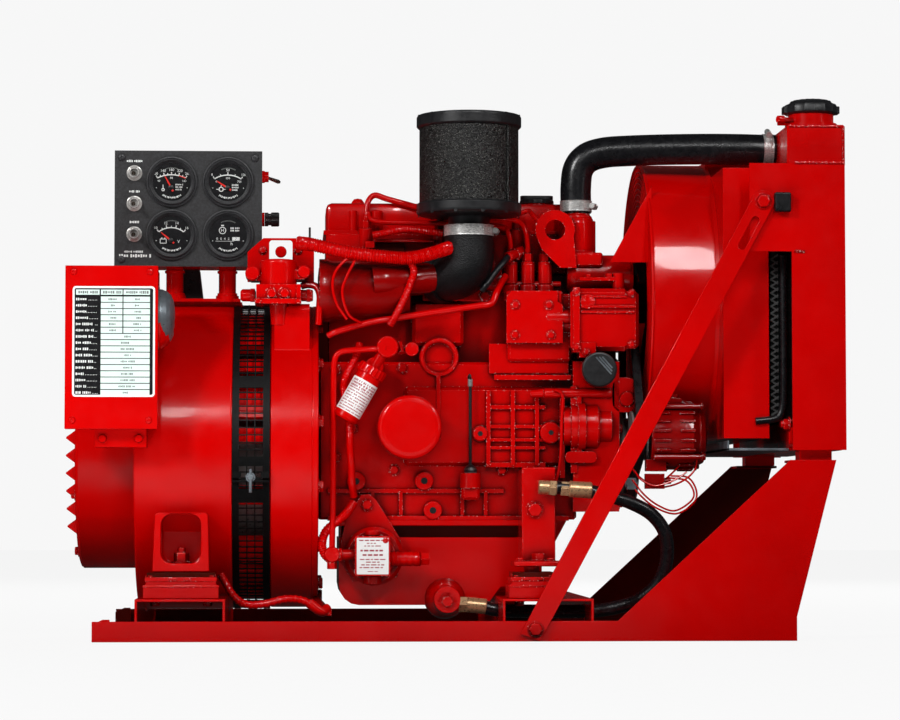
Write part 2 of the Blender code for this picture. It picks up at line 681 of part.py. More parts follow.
def belt_outline(offset, steps=8):
    """The belt's path round its three pulleys, this far outside their rims."""
    pulleys = [
        ((0, SHAFT_Z), CRANK_PULLEY_R + offset),
        ((0, FAN_Z), FAN_PULLEY_R + offset),
        ((ALTERNATOR_Y, ALTERNATOR_Z), ALTERNATOR_PULLEY_R + offset),
    ]
    normals = []
    for (start, r_start), (end, r_end) in zip(pulleys, pulleys[1:] + pulleys[:1]):
        along = math.atan2(end[1] - start[1], end[0] - start[0])
        span = math.dist(start, end)
        normals.append(along - math.acos((r_start - r_end) / span))
    outline = []
    for number, (centre, radius) in enumerate(pulleys):
        begin, finish = normals[number - 1], normals[number]
        while finish < begin:
            finish += math.tau
        outline += arc(centre, radius, math.degrees(begin), math.degrees(finish), steps)
    return outline


def make_fan_drive(red, black, rubber, steel):
    hub = turned(
        [
            (0, 203 + GAP),
            (12, 203 + GAP),
            (12, 212),
            (FAN_PULLEY_R, 212),
            (FAN_PULLEY_R, BELT_LOW_X - 2.5),
            (FAN_PULLEY_R - 7, BELT_LOW_X - 1),
            (FAN_PULLEY_R - 7, BELT_HIGH_X + 1),
            (FAN_PULLEY_R, BELT_HIGH_X + 2.5),
            (FAN_PULLEY_R, 232),
            (26, 232),
            (26, 282),
            (20, 288),
            (0, 288),
        ],
        "X",
        (0, FAN_Z),
        24,
    )
    blades = []
    for number in range(6):
        blade = block((-1.5, -24, 18), (1.5, 24, 158))
        pitch = Matrix.Rotation(math.radians(55), 4, "Z")
        spoke = Matrix.Rotation(math.tau * number / 6, 4, "X")
        stand = Matrix.Translation((268, 0, FAN_Z)) @ spoke @ pitch
        bmesh.ops.transform(blade, matrix=stand, verts=blade.verts)
        blades.append(blade)
    solid("cooling_fan", black, [hub, *blades], origin=(203, 0, FAN_Z))

    pulley = turned(
        [
            (0, 212),
            (ALTERNATOR_PULLEY_R, 212),
            (ALTERNATOR_PULLEY_R, BELT_LOW_X - 2.5),
            (ALTERNATOR_PULLEY_R - 7, BELT_LOW_X - 1),
            (ALTERNATOR_PULLEY_R - 7, BELT_HIGH_X + 1),
            (ALTERNATOR_PULLEY_R, BELT_HIGH_X + 2.5),
            (ALTERNATOR_PULLEY_R, 231),
            (10, 231),
            (10, 234 - GAP),
            (0, 234 - GAP),
        ],
        "X",
        (ALTERNATOR_Y, ALTERNATOR_Z),
        20,
    )
    solid("alternator_pulley", steel, [pulley], origin=(212, ALTERNATOR_Y, ALTERNATOR_Z))

    belt = plate(belt_outline(0.5), "X", BELT_LOW_X, BELT_HIGH_X)
    inside = plate(belt_outline(-6), "X", BELT_LOW_X - 5, BELT_HIGH_X + 5)
    solid("fan_belt", rubber, [belt], [inside])


def make_radiator(red, black):
    low_tank = (222.0, 258.0)
    top_tank = block((TANK_LEFT, -TANK_Y, TANK_BASE), (TANK_RIGHT, TANK_Y, TANK_TOP), 2)
    bottom_tank = block((TANK_LEFT, -TANK_Y, low_tank[0]), (TANK_RIGHT - 4, TANK_Y, low_tank[1]), 2)
    neck = rod((CAP_X, CAP_Y, TANK_TOP - 4), (CAP_X, CAP_Y, 624), 27, steps=24)
    flare = rod((CAP_X, CAP_Y, TANK_TOP - 1), (CAP_X, CAP_Y, TANK_TOP + 5), 31, steps=24)
    nipple = rod((CAP_X - 20, CAP_Y, 616), (387, CAP_Y, 616), 4.5, steps=10)
    inlet = rod((TANK_LEFT - 0.1, -110, 588), (TANK_LEFT + 6, -110, 588), 18, steps=16)
    outline = [(340.5, 453.6), (340.5, 557), (453, 557), (453, 221.6), (390, 221.6), (390, 453.6)]
    shapes = [top_tank, bottom_tank, neck, flare, nipple, inlet]
    for side in (FRONT, REAR):
        web = plate(outline, "Y", -SIDE_Y, SHEET - SIDE_Y)
        back_flange = block((450, 1 - SIDE_Y, 223), (453, 3 - TANK_Y, TANK_BASE + 3))
        low_flange = block((391, 1 - SIDE_Y, 226), (452, 3 - TANK_Y, 229))
        foot = block((400, -226, GUSSET_TOP + GAP), (438, -196, low_tank[0] + 6))
        shapes += [on_side(side, made) for made in (web, back_flange, low_flange, foot)]
    bore = rod((CAP_X, CAP_Y, 590), (CAP_X, CAP_Y, 630), 20, steps=24)
    solid("radiator_frame", red, shapes, [bore])

    core = block((CORE_LEFT, -196, low_tank[1] + GAP), (CORE_RIGHT, 196, TANK_BASE - GAP))
    solid("radiator_core", black, [core])

    cap = turned([(0, 614), (17, 614), (17, 624 + GAP), (32, 624 + GAP), (32.3, 634), (27, 641), (0, 642)],
                 "Z", (CAP_X, CAP_Y), 28)
    ears = [block((CAP_X + s * 29 - 5, CAP_Y - 8, 625), (CAP_X + s * 29 + 5, CAP_Y + 8, 634)) for s in (-1, 1)]
    solid("radiator_cap", black, [cap, *ears], origin=(CAP_X, CAP_Y, 624))


def make_shroud(red):
    wall = 2.0
    low, high, wide = 236.0, 556.0, TANK_Y
    box = block((SHROUD_LEFT, -wide, low), (SHROUD_RIGHT, wide, high))
    drum = turned([(DRUM_R - wall, DRUM_LEFT), (DRUM_R, DRUM_LEFT), (DRUM_R, SHROUD_LEFT + 1),
                   (DRUM_R - wall, SHROUD_LEFT + 1)], "X", (0, FAN_Z), 40)
    guard = plate([(189, 449.6), (239.6, 449.6), (239.6, 542)], "Y", -124, -122)
    inside = block((SHROUD_LEFT + wall, wall - wide, low + wall), (SHROUD_RIGHT + 5, wide - wall, high - wall))
    throat = rod((SHROUD_LEFT - 0.5, 0, FAN_Z), (SHROUD_LEFT + 5, 0, FAN_Z), DRUM_R - wall, steps=40)
    solid("fan_shroud", red, [box, drum, guard], [inside, throat])


def brace(name, side, red):
    """A slotted flat bar from the rail up to the radiator's side, with its bolts and bumper."""
    low, high = Vector((88.8, 0, 14)), Vector((356, 0, 511.6))
    along = (high - low).normalized()
    across = Vector((along.z, 0, -along.x)) * 13
    corners = [low - along * 13 - across, low - along * 13 + across, high + along * 6 + across,
               high + along * 13 + across * 0.5, high + along * 13 - across * 0.5, high + along * 6 - across]
    outline = [(max(corner.x, 70), max(corner.z, 0.5)) for corner in corners]
    outer = -SIDE_Y - GAP - 5
    bar = plate(outline, "Y", outer, outer + 5)
    slot_ends = [high - along * reach for reach in (18, 60)]
    half = across.normalized() * 4.2
    slot_outline = [slot_ends[0] + half, slot_ends[0] - half, slot_ends[1] - half, slot_ends[1] + half]
    slot = plate([(point.x, point.z) for point in slot_outline], "Y", outer - 5, outer + 10)
    bolts = [rod((p.x, outer - 5.5, p.z), (p.x, outer + 2, p.z), 8, steps=6) for p in (low, high)]
    bumper = block((369, outer - 6, 499), (388, outer + 5, 522), 2)
    stem = block((350, outer + 1, 506), (372, outer + 5, 516))
    solid(name, red, [on_side(side, made) for made in (bar, *bolts, stem, bumper)], [on_side(side, slot)])


def make_hoses(rubber):
    upper = [(152, THERMOSTAT_Y, 512), (152, THERMOSTAT_Y, 522), (152, THERMOSTAT_Y, 546), (155, -79, 567),
             (166, -80, 582), (186, -82, 589), (216, -86, 591), (260, -92, 592), (310, -100, 592),
             (350, -107, 590), (376, -110, 588), (385, -110, 588), (TANK_LEFT - GAP - 0.1, -110, 588)]
    hose("upper_hose", rubber, upper, 18.3, 2)
    drain = [(7, -150, 40), (16, -150, 40), (32, -150, 38), (55, -150, 33), (105, -150, 32), (157, -152, 32),
             (190, -158, 36), (218, -166, 46), (240, -174, 66), (249, -182, 94), (246, -190, 124),
             (230, -196, 146), (205, -200, 160), (180, -200, 168), (160, -200, 172), (118, -200, 178)]
    hose("drain_hose", rubber, drain, 8, 2, sides=2)


def main():
    for thing in list(bpy.data.objects):
        bpy.data.objects.remove(thing)
    red = look("red_enamel", (0.55, 0.004, 0.004), 0.22)
    painted_rubber = look("painted_rubber", (0.45, 0.004, 0.004), 0.4)
    pointer_red = look("pointer_red", (0.8, 0.03, 0.02), 0.4)
    black = look("black_enamel", (0.02, 0.02, 0.022), 0.4)
    rubber = look("rubber", (0.015, 0.015, 0.016), 0.55)
    steel = look("bare_steel", (0.35, 0.34, 0.33), 0.35, 1.0)
    chrome = look("chrome", (0.8, 0.8, 0.8), 0.12, 1.0)

    make_skid(red, painted_rubber)
    make_generator(red, black, steel)
    make_terminal_box(red)
    make_panel(red, black, chrome, pointer_red)
    make_engine_core(red, steel)
    make_engine_top(red, black, rubber)
    make_engine_base(red, steel)
    make_engine_sides(red, black, steel)
    make_fan_drive(red, black, rubber, steel)
    make_radiator(red, black)
    make_shroud(red)
    brace("brace_front", FRONT, red)
    brace("brace_rear", REAR, red)
    make_hoses(rubber)


main()
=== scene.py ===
"""Looks of the skid-mounted generating set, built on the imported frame.

Shapes are in millimetres until a mesh is made; the studio and the patterns are in metres.
+X runs to the radiator and -Y is the service side.
"""

import math
import random

import bmesh
import bpy
from mathutils import Matrix, Vector


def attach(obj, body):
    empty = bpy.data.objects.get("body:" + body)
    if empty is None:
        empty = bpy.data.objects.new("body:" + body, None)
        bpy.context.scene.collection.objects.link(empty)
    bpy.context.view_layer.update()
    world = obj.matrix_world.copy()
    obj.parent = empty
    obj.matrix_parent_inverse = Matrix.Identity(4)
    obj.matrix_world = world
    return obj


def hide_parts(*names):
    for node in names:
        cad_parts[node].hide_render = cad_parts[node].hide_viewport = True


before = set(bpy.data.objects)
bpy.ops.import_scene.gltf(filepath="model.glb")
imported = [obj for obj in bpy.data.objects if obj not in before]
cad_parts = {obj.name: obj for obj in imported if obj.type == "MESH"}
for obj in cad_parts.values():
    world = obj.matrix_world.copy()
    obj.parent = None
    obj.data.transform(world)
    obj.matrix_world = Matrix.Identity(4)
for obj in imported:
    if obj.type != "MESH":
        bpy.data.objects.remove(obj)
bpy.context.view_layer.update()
scene = bpy.context.scene
MM = 0.001
SHARP_ANGLE = math.radians(32)
# How strong the white surroundings are as light, as a mirrored image and as the backdrop.
FILL, MIRRORED, BACKDROP = 0.06, 0.02, 0.931
PAPER_GLOW = 0.9
SHAFT_Z, FAN_Z = 218.0, 410.0
RIGHT, LEFT, REAR, FRONT, UP, DOWN = (1, 0, 0), (-1, 0, 0), (0, 1, 0), (0, -1, 0), (0, 0, 1), (0, 0, -1)
random.seed(7)


# ---------------------------------------------------------------- camera, floor and light


def area_light(name, at, target, wide, high, power, shows=True):
    data = bpy.data.lights.new(name, "AREA")
    data.shape, data.size, data.size_y = "RECTANGLE", wide, high
    data.energy = power
    lamp = bpy.data.objects.new(name, data)
    lamp.location = at
    lamp.rotation_euler = (Vector(target) - Vector(at)).to_track_quat("-Z", "Y").to_euler()
    lamp.visible_camera = lamp.visible_glossy = shows
    scene.collection.objects.link(lamp)


def make_studio():
    scene.view_settings.view_transform = "Standard"
    data = bpy.data.cameras.new("camera")
    data.lens, data.sensor_width = 120.74, 36
    camera = bpy.data.objects.new("camera", data)
    camera.location = (-0.1908, -3.73, 0.1462)
    camera.rotation_euler = (math.radians(92.935), 0, math.radians(-2.967))
    scene.collection.objects.link(camera)
    scene.camera = camera

    world = bpy.data.worlds.new("studio")
    world.use_nodes = True
    scene.world = world
    nodes, links = world.node_tree.nodes, world.node_tree.links
    path, last = nodes.new("ShaderNodeLightPath"), None
    for level, ray in ((FILL, None), (MIRRORED, "Is Glossy Ray"), (BACKDROP, "Is Camera Ray")):
        glow = nodes.new("ShaderNodeBackground")
        glow.inputs["Color"].default_value = (1, 1, 1, 1)
        glow.inputs["Strength"].default_value = level
        if ray:
            mix = nodes.new("ShaderNodeMixShader")
            links.new(path.outputs[ray], mix.inputs["Fac"])
            links.new(last, mix.inputs[1])
            links.new(glow.outputs[0], mix.inputs[2])
            last = mix.outputs[0]
        else:
            last = glow.outputs[0]
    links.new(last, nodes["World Output"].inputs["Surface"])

    floor = bmesh.new()
    bmesh.ops.create_circle(floor, cap_ends=True, segments=64, radius=9)
    mesh = bpy.data.meshes.new("floor")
    floor.to_mesh(mesh)
    ground = bpy.data.objects.new("floor", mesh)
    ground.location = (0, 0, -0.0005)
    scene.collection.objects.link(ground)
    mesh.materials.append(floor_look())
    ground.visible_diffuse = ground.visible_glossy = False

    area_light("key", (-2.15, -2.5, 2.0), (-0.05, -0.15, 0.3), 0.4, 0.5, 54)
    area_light("soft_right", (0.68, -2.75, 2.15), (0.1, -0.1, 0.35), 0.2, 1.1, 26)
    area_light("spark", (-0.45, -2.9, 1.95), (-0.1, -0.1, 0.35), 0.08, 0.4, 8)
    area_light("side_right", (2.4, -2.2, 2.0), (0.1, -0.1, 0.3), 0.3, 0.5, 16)
    area_light("strip_left", (-2.5, -2.3, 0.5), (-0.1, -0.1, 0.4), 0.1, 1.2, 1.6)
    area_light("strip_right", (2.6, -2.1, 0.5), (0.1, -0.1, 0.4), 0.1, 1.2, 1.6)
    area_light("back", (0.4, 2.6, 1.5), (0, 0, 0.3), 1.4, 1.0, 48, shows=False)
    area_light("end_right", (2.8, 0.7, 1.2), (0.4, 0, 0.35), 0.9, 0.9, 22, shows=False)
    area_light("end_left", (-2.8, 0.7, 1.2), (-0.4, 0, 0.3), 0.9, 0.9, 22, shows=False)
    area_light("bounce", (-0.5, -0.85, 0.004), (-0.5, -0.8, 1), 1.5, 0.8, 12, shows=False)


# ---------------------------------------------------------------- materials


class Look:
    """A node material: a Principled shader with patterns in object space."""

    def __init__(self, name, colour, roughness, metallic=0.0, **sockets):
        self.made = bpy.data.materials.new(name)
        self.made.use_nodes = True
        self.nodes, self.links = self.made.node_tree.nodes, self.made.node_tree.links
        self.shader = self.nodes["Principled BSDF"]
        self.where = self.nodes.new("ShaderNodeTexCoord")
        self.put("Base Color", (*colour, 1))
        self.put("Roughness", roughness)
        self.put("Metallic", metallic)
        for socket, value in sockets.items():
            self.put(socket.replace("_", " ").title().replace("Ior", "IOR"), value)
        self.bump = None

    def put(self, socket, value):
        self.shader.inputs[socket].default_value = value

    def noise(self, scale, detail=3.0, stretch=(1, 1, 1), rough=0.5):
        """A noise pattern's value, with its scale in features per metre."""
        size = self.nodes.new("ShaderNodeMapping")
        size.inputs["Scale"].default_value = stretch
        made = self.nodes.new("ShaderNodeTexNoise")
        made.inputs["Scale"].default_value = scale
        made.inputs["Detail"].default_value = detail
        made.inputs["Roughness"].default_value = rough
        self.links.new(self.where.outputs["Object"], size.inputs["Vector"])
        self.links.new(size.outputs[0], made.inputs["Vector"])
        return made.outputs[0]

    def cells(self, scale):
        made = self.nodes.new("ShaderNodeTexVoronoi")
        made.inputs["Scale"].default_value = scale
        self.links.new(self.where.outputs["Object"], made.inputs["Vector"])
        return made.outputs["Distance"]

    def ramp(self, value, stops):
        """Colours or greys over a pattern's value: [(place, colour), ...]."""
        made = self.nodes.new("ShaderNodeValToRGB")
        keys = made.color_ramp.elements
        while len(keys) < len(stops):
            keys.new(0.5)
        for key, (place, colour) in zip(keys, stops):
            key.position = place
            key.color = (*colour, 1) if hasattr(colour, "__len__") else (colour, colour, colour, 1)
        self.links.new(value, made.inputs["Fac"])
        return made.outputs["Color"]

    def vary(self, socket, value, stops):
        self.links.new(self.ramp(value, stops), self.shader.inputs[socket])
        return self

    def raised(self, value, depth, strength=1.0):
        """Relief from a pattern, its depth in metres. Calls stack."""
        made = self.nodes.new("ShaderNodeBump")
        made.inputs["Strength"].default_value = strength
        made.inputs["Distance"].default_value = depth
        self.links.new(value, made.inputs["Height"])
        if self.bump:
            self.links.new(self.bump, made.inputs["Normal"])
        self.bump = made.outputs["Normal"]
        self.links.new(self.bump, self.shader.inputs["Normal"])
        return self

    def mixed(self, amount, other, blend="MIX"):
        """Blends the base colour with another colour by a pattern or a number."""
        mix = self.nodes.new("ShaderNodeMix")
        mix.data_type, mix.blend_type = "RGBA", blend
        base = self.shader.inputs["Base Color"]
        self.links.new(base.links[0].from_socket, mix.inputs[6])
        for value, socket in ((amount, mix.inputs[0]), (other, mix.inputs[7])):
            if hasattr(value, "is_linked"):
                self.links.new(value, socket)
            else:
                socket.default_value = value
        self.links.new(mix.outputs[2], base)

    def painted_shade_in_hollows(self, reach, least):
        """Painted shade: darkens the base colour where other surfaces stand within reach, in metres."""
        near = self.nodes.new("ShaderNodeAmbientOcclusion")
        near.samples = 6
        near.inputs["Distance"].default_value = reach
        self.mixed(1.0, self.ramp(near.outputs["AO"], [(0.25, least), (0.85, 1.0)]), "MULTIPLY")

    def painted_edge_highlights(self, width, amount, colour):
        """Small bright spots along the edges of a casting: painted highlights, mixed into the base colour.
        """
        nodes = [self.nodes.new(kind) for kind in ("ShaderNodeBevel", "ShaderNodeNewGeometry",
                                                   "ShaderNodeVectorMath")]
        bevel, surface, turn = nodes
        bevel.samples = 4
        bevel.inputs["Radius"].default_value = width
        turn.operation = "DOT_PRODUCT"
        self.links.new(bevel.outputs[0], turn.inputs[0])
        self.links.new(surface.outputs["Normal"], turn.inputs[1])
        edge = self.ramp(turn.outputs["Value"], [(0.9, 1.0), (0.985, 0.0)])
        glint_spots = self.ramp(self.noise(520, 2, rough=0.6), [(1 - amount, 0.0), (1.04 - amount, 1.0)])
        both = self.nodes.new("ShaderNodeMath")
        both.operation = "MULTIPLY"
        self.links.new(edge, both.inputs[0])
        self.links.new(glint_spots, both.inputs[1])
        self.mixed(both.outputs[0], (*colour, 1))


def floor_look():
    look = Look("floor_paper", (0.1, 0.1, 0.1), 1.0, specular_ior_level=0, emission_color=(1, 1, 1, 1),
                emission_strength=PAPER_GLOW)
    look.vary("Base Color", look.noise(60, 4), [(0.3, 0.047), (0.7, 0.053)])
    return look.made


def enamel(name, cast, dark=(0.5, 0.0, 0.0), light=(0.62, 0.0, 0.0), shine=0.25):
    """Glossy red enamel, on smooth sheet or on rough castings."""
    look = Look(name, light, 0.2, specular_ior_level=0.2, coat_weight=shine, coat_roughness=0.04)
    look.vary("Base Color", look.noise(9, 3), [(0.25, dark), (0.75, light)])
    look.vary("Roughness", look.noise(45, 4), [(0.3, 0.16), (0.7, 0.26)])
    look.raised(look.noise(340, 2), 0.00014, 0.4)
    if cast:
        look.raised(look.noise(26, 2, rough=0.4), 0.0035, 0.35)
        look.raised(look.noise(150, 2), 0.0006, 0.35)
        # Castings get painted shade in their hollows and painted highlights along their edges.
        look.painted_shade_in_hollows(0.042, 0.06)
        look.painted_edge_highlights(0.0012, 0.4, (1.0, 0.76, 0.72))
    return look.made


def black_powder(name, grey, rough, spread=0.5):
    look = Look(name, (grey, grey, grey * 1.08), rough, specular_ior_level=0.2)
    dark, light = grey * (1 - spread), grey * (1 + spread)
    tones = [(0.35, (dark,) * 3), (0.7, (light, light, light * 1.08))]
    look.vary("Base Color", look.noise(420, 3), tones)
    look.vary("Roughness", look.noise(60, 4), [(0.3, rough * 0.85), (0.7, rough * 1.2)])
    return look.raised(look.cells(900), 0.0003, 0.5).made


def crinkle():
    look = Look("black_crinkle", (0.006, 0.006, 0.007), 0.3, specular_ior_level=0.5)
    # The pale flecks over the black are painted glints of the crinkle.
    tones = [(0.5, (0.001,) * 3), (0.6, (0.003,) * 3), (0.72, (0.36, 0.35, 0.32))]
    look.vary("Base Color", look.noise(820, 2, rough=0.8), tones)
    look.vary("Roughness", look.noise(500, 3), [(0.3, 0.2), (0.7, 0.5)])
    return look.raised(look.noise(520, 3), 0.0022, 1.0).made


def moulded(name, colour, roughness=0.4, shine=0.5):
    look = Look(name, colour, roughness, specular_ior_level=shine)
    lighter = tuple(min(c * 1.6 + 0.004, c + 0.03) for c in colour)
    look.vary("Base Color", look.noise(240, 4), [(0.35, colour), (0.75, lighter)])
    look.vary("Roughness", look.noise(90, 4), [(0.3, roughness * 0.8), (0.7, roughness * 1.25)])
    return look.raised(look.noise(1500, 2), 0.00015, 0.4).made


def metal(name, colour, roughness, grain=(1, 1, 1), stain=0.75, metallic=0.7):
    look = Look(name, colour, roughness, metallic)
    look.vary("Base Color", look.noise(40, 5), [(0.3, tuple(c * stain for c in colour)), (0.7, colour)])
    look.vary("Roughness", look.noise(300, 4, grain), [(0.3, roughness * 0.7), (0.7, roughness * 1.4)])
    return look.raised(look.noise(900, 2, grain), 0.00012, 0.4).made


def textured_rubber():
    look = Look("textured_rubber", (0.012, 0.012, 0.013), 0.42, specular_ior_level=0.3)
    look.vary("Base Color", look.noise(900, 3),
              [(0.35, (0.002, 0.002, 0.0025)), (0.75, (0.01, 0.01, 0.011))])
    return look.raised(look.cells(700), 0.0006, 0.7).made


def lens():
    look = Look("gauge_lens", (0.01, 0.01, 0.01), 0.04, alpha=0.05)
    return look.vary("Roughness", look.noise(30, 3), [(0.3, 0.03), (0.7, 0.07)]).made


def make_looks():
    made = {
        "sheet": enamel("red_enamel_sheet", False),
        "cast": enamel("red_enamel_cast", True, shine=0.45),
        "round": enamel("red_enamel_barrel", False, shine=0.05),
        # A darker copy of the cast red enamel: painted shade for parts that stand in shadow.
        "painted_shade_red": enamel("red_enamel_painted_shade", True, (0.2, 0.0, 0.0), (0.32, 0.001, 0.001), shine=0.3),
        # Near-black red: painted shadow for openings, recesses and faces that stand in shade.
        "shadow": enamel("red_enamel_painted_shadow", False, (0.045, 0.002, 0.0), (0.075, 0.003, 0.001), shine=0.0),
        "isolator": enamel("red_enamel_rubber", False, (0.42, 0, 0), (0.56, 0, 0)),
        "powder": black_powder("black_powder_coat", 0.003, 0.45),
        "panel": black_powder("panel_paint", 0.036, 0.5, 0.2),
        "crinkle": crinkle(),
        "plastic": moulded("black_plastic", (0.008, 0.008, 0.009), 0.36),
        "dial": moulded("dial_black", (0.004, 0.004, 0.005), 0.5, 0.2),
        "print": moulded("dial_print", (0.8, 0.82, 0.8), 0.5),
        "pointer": moulded("pointer_red", (0.8, 0.02, 0.012), 0.35),
        "label": moulded("label_white", (0.8, 0.8, 0.79), 0.4, 0.2),
        "rubber": moulded("black_rubber", (0.005, 0.005, 0.006), 0.3, 0.35),
        "steel": metal("bare_steel", (0.4, 0.39, 0.38), 0.34),
        "stainless": metal("stainless", (0.66, 0.65, 0.63), 0.26, (1, 1, 12), metallic=0.6),
        "zinc": metal("zinc_plate", (0.24, 0.28, 0.31), 0.36, stain=0.45, metallic=0.5),
        "chrome": metal("chrome", (0.86, 0.84, 0.8), 0.2, stain=0.6, metallic=0.45),
        # Brown tint on the toggle levers: a painted reflection of brownish surroundings.
        "lever": metal("chrome_lever_painted_reflection", (0.3, 0.24, 0.19), 0.16, stain=0.4, metallic=0.8),
        "brass": metal("brass", (0.62, 0.38, 0.2), 0.3, stain=0.8, metallic=0.6),
        "aluminium": metal("aluminium", (0.66, 0.67, 0.68), 0.35),
        "bezel": moulded("bezel_black", (0.02, 0.02, 0.022), 0.38),
        "faint": moulded("faint_print", (0.16, 0.17, 0.16), 0.5),
        "elbow": textured_rubber(),
        "hose": moulded("hose_rubber", (0.004, 0.004, 0.005), 0.26, 0.45),
        "mint": moulded("plate_cells", (0.66, 0.8, 0.74), 0.45, 0.2),
        "ink": moulded("ink_dark", (0.12, 0.13, 0.13), 0.5),
        "ink_red": moulded("ink_red", (0.34, 0.03, 0.05), 0.5),
        "fin": metal("radiator_fin", (0.1, 0.1, 0.1), 0.4),
        "lens": lens(),
    }
    return made


# ---------------------------------------------------------------- shapes


def placed(axis, across, up, along):
    if axis == "X":
        return (along, across, up)
    if axis == "Y":
        return (across, along, up)
    return (across, up, along)


def closed_shape(points, faces):
    made = bmesh.new()
    corners = [made.verts.new(point) for point in points]
    for face in faces:
        made.faces.new([corners[index] for index in face])
    bmesh.ops.recalc_face_normals(made, faces=made.faces)
    return made


def plate(outline, axis, low, high):
    count = len(outline)
    points = [placed(axis, across, up, along) for along in (low, high) for across, up in outline]
    sides = [(i, (i + 1) % count, count + (i + 1) % count, count + i) for i in range(count)]
    return closed_shape(points, sides + [tuple(range(count)), tuple(range(count, 2 * count))])


def block(low, high):
    outline = [(low[0], low[1]), (high[0], low[1]), (high[0], high[1]), (low[0], high[1])]
    return plate(outline, "Z", low[2], high[2])


def eased(profile):
    """Adds a point just inside each end of a long run, so smooth shading stays at the corners."""
    made = [profile[0]]
    for one, two in zip(profile, profile[1:]):
        long = math.dist(one, two)
        if long > 4:
            for end, share in ((one, 0.5 / long), (two, 1 - 0.5 / long)):
                if end[0]:
                    made.append((one[0] + (two[0] - one[0]) * share, one[1] + (two[1] - one[1]) * share))
        made.append(two)
    return made


def turned(profile, axis, centre, steps=48, dip=0.0):
    """A profile of (radius, place on the axis), turned. Every second step may dip, for a knurl."""
    points, rings = [], []
    if steps > 30 and not dip:
        profile = eased(profile)
    for radius, along in profile:
        ring = []
        for step in range(steps if radius else 1):
            angle = math.tau * step / steps
            reach = radius - (dip if step % 2 and radius > 2 else 0)
            across = centre[0] + reach * math.cos(angle)
            up = centre[1] + reach * math.sin(angle)
            ring.append(len(points))
            points.append(placed(axis, across, up, along))
        rings.append(ring)
    pairs = list(zip(rings, rings[1:]))
    if profile[0][0]:
        pairs.append((rings[-1], rings[0]))
    faces = []
    for one, other in pairs:
        for step in range(steps):
            after = (step + 1) % steps
            corners = (one[step % len(one)], one[after % len(one)])
            corners += (other[after % len(other)], other[step % len(other)])
            faces.append(list(dict.fromkeys(corners)))
    return closed_shape(points, faces)


def spindle(profile, axis, centre, steps=48, dip=0.0):
    """A solid turned shape. Its profile is closed to the axis at both ends."""
    start = [(0, profile[0][1])] if profile[0][0] else []
    end = [(0, profile[-1][1])] if profile[-1][0] else []
    return turned(start + profile + end, axis, centre, steps, dip=dip)


def disc(radius, low, high, axis, centre, steps=48, dip=0.0):
    """A plain cylinder, from low to high along the axis."""
    return spindle([(radius, low), (radius, high)], axis, centre, steps, dip)


def aimed(made, at, direction, spin=0.0):
    """Moves a shape drawn along +Z from the origin to a place and a direction."""
    turn = Vector(direction).to_track_quat("Z", "Y").to_matrix().to_4x4()
    matrix = Matrix.Translation(at) @ turn @ Matrix.Rotation(spin, 4, "Z")
    bmesh.ops.transform(made, matrix=matrix, verts=made.verts)
    return made


def spun(made, centre, angle, axis="X"):
    """Turns a shape about the origin's axis, by an angle in radians, and moves it to centre."""
    turn = Matrix.Translation(centre) @ Matrix.Rotation(angle, 4, axis)
    bmesh.ops.transform(made, matrix=turn, verts=made.verts)
    return made


def rod(start, end, radius, end_radius=None, steps=24, rim=0.0):
    """A cylinder or cone, with its two rims taken off by rim."""
    start, end = Vector(start), Vector(end)
    top = radius if end_radius is None else end_radius
    long = (end - start).length
    profile = [(0, 0), (radius, 0), (top, long), (0, long)]
    if rim:
        profile = [(0, 0), (radius - rim, 0), (radius, rim), (top, long - rim), (top - rim, long),
                   (0, long)]
    return aimed(turned(profile, "Z", (0, 0), steps), start, end - start)


def hexagon(start, end, radius, rim=0.0):
    return rod(start, end, radius, steps=6, rim=rim)


def hex_bolt(at, direction, across=10.0, head=4.5, spin=0.0):
    """A hexagon head on a washer: at is on the surface and direction points out of it."""
    r = across / 2 / math.cos(math.pi / 6)
    shapes = (spindle([(r, -1), (r, head - 1), (r - 1.2, head)], "Z", (0, 0), 6),
              disc(r * 1.25, -1, 0.9, "Z", (0, 0), 20))
    return [aimed(made, at, direction, spin) for made in shapes]


def pan_screw(at, radius):
    """A round screw head with a recess, on a surface that faces the service side."""
    profile = [(radius, -1), (radius, 0.7), (radius * 0.8, 1.7), (radius * 0.35, 2.1), (radius * 0.3, 1.2)]
    return [aimed(spindle(profile, "Z", (0, 0), 16), at, FRONT)]


def smooth_route(points, steps=8):
    knots = [Vector(point) for point in points]
    knots = [2 * knots[0] - knots[1], *knots, 2 * knots[-1] - knots[-2]]
    route = []
    for before, start, end, after in zip(knots, knots[1:], knots[2:], knots[3:]):
        for step in range(steps):
            t = step / steps
            bend = (end - before) * t + (2 * before - 5 * start + 4 * end - after) * t * t
            route.append(start + (bend + (3 * start - before - 3 * end + after) * t**3) / 2)
    return route + [knots[-2]]


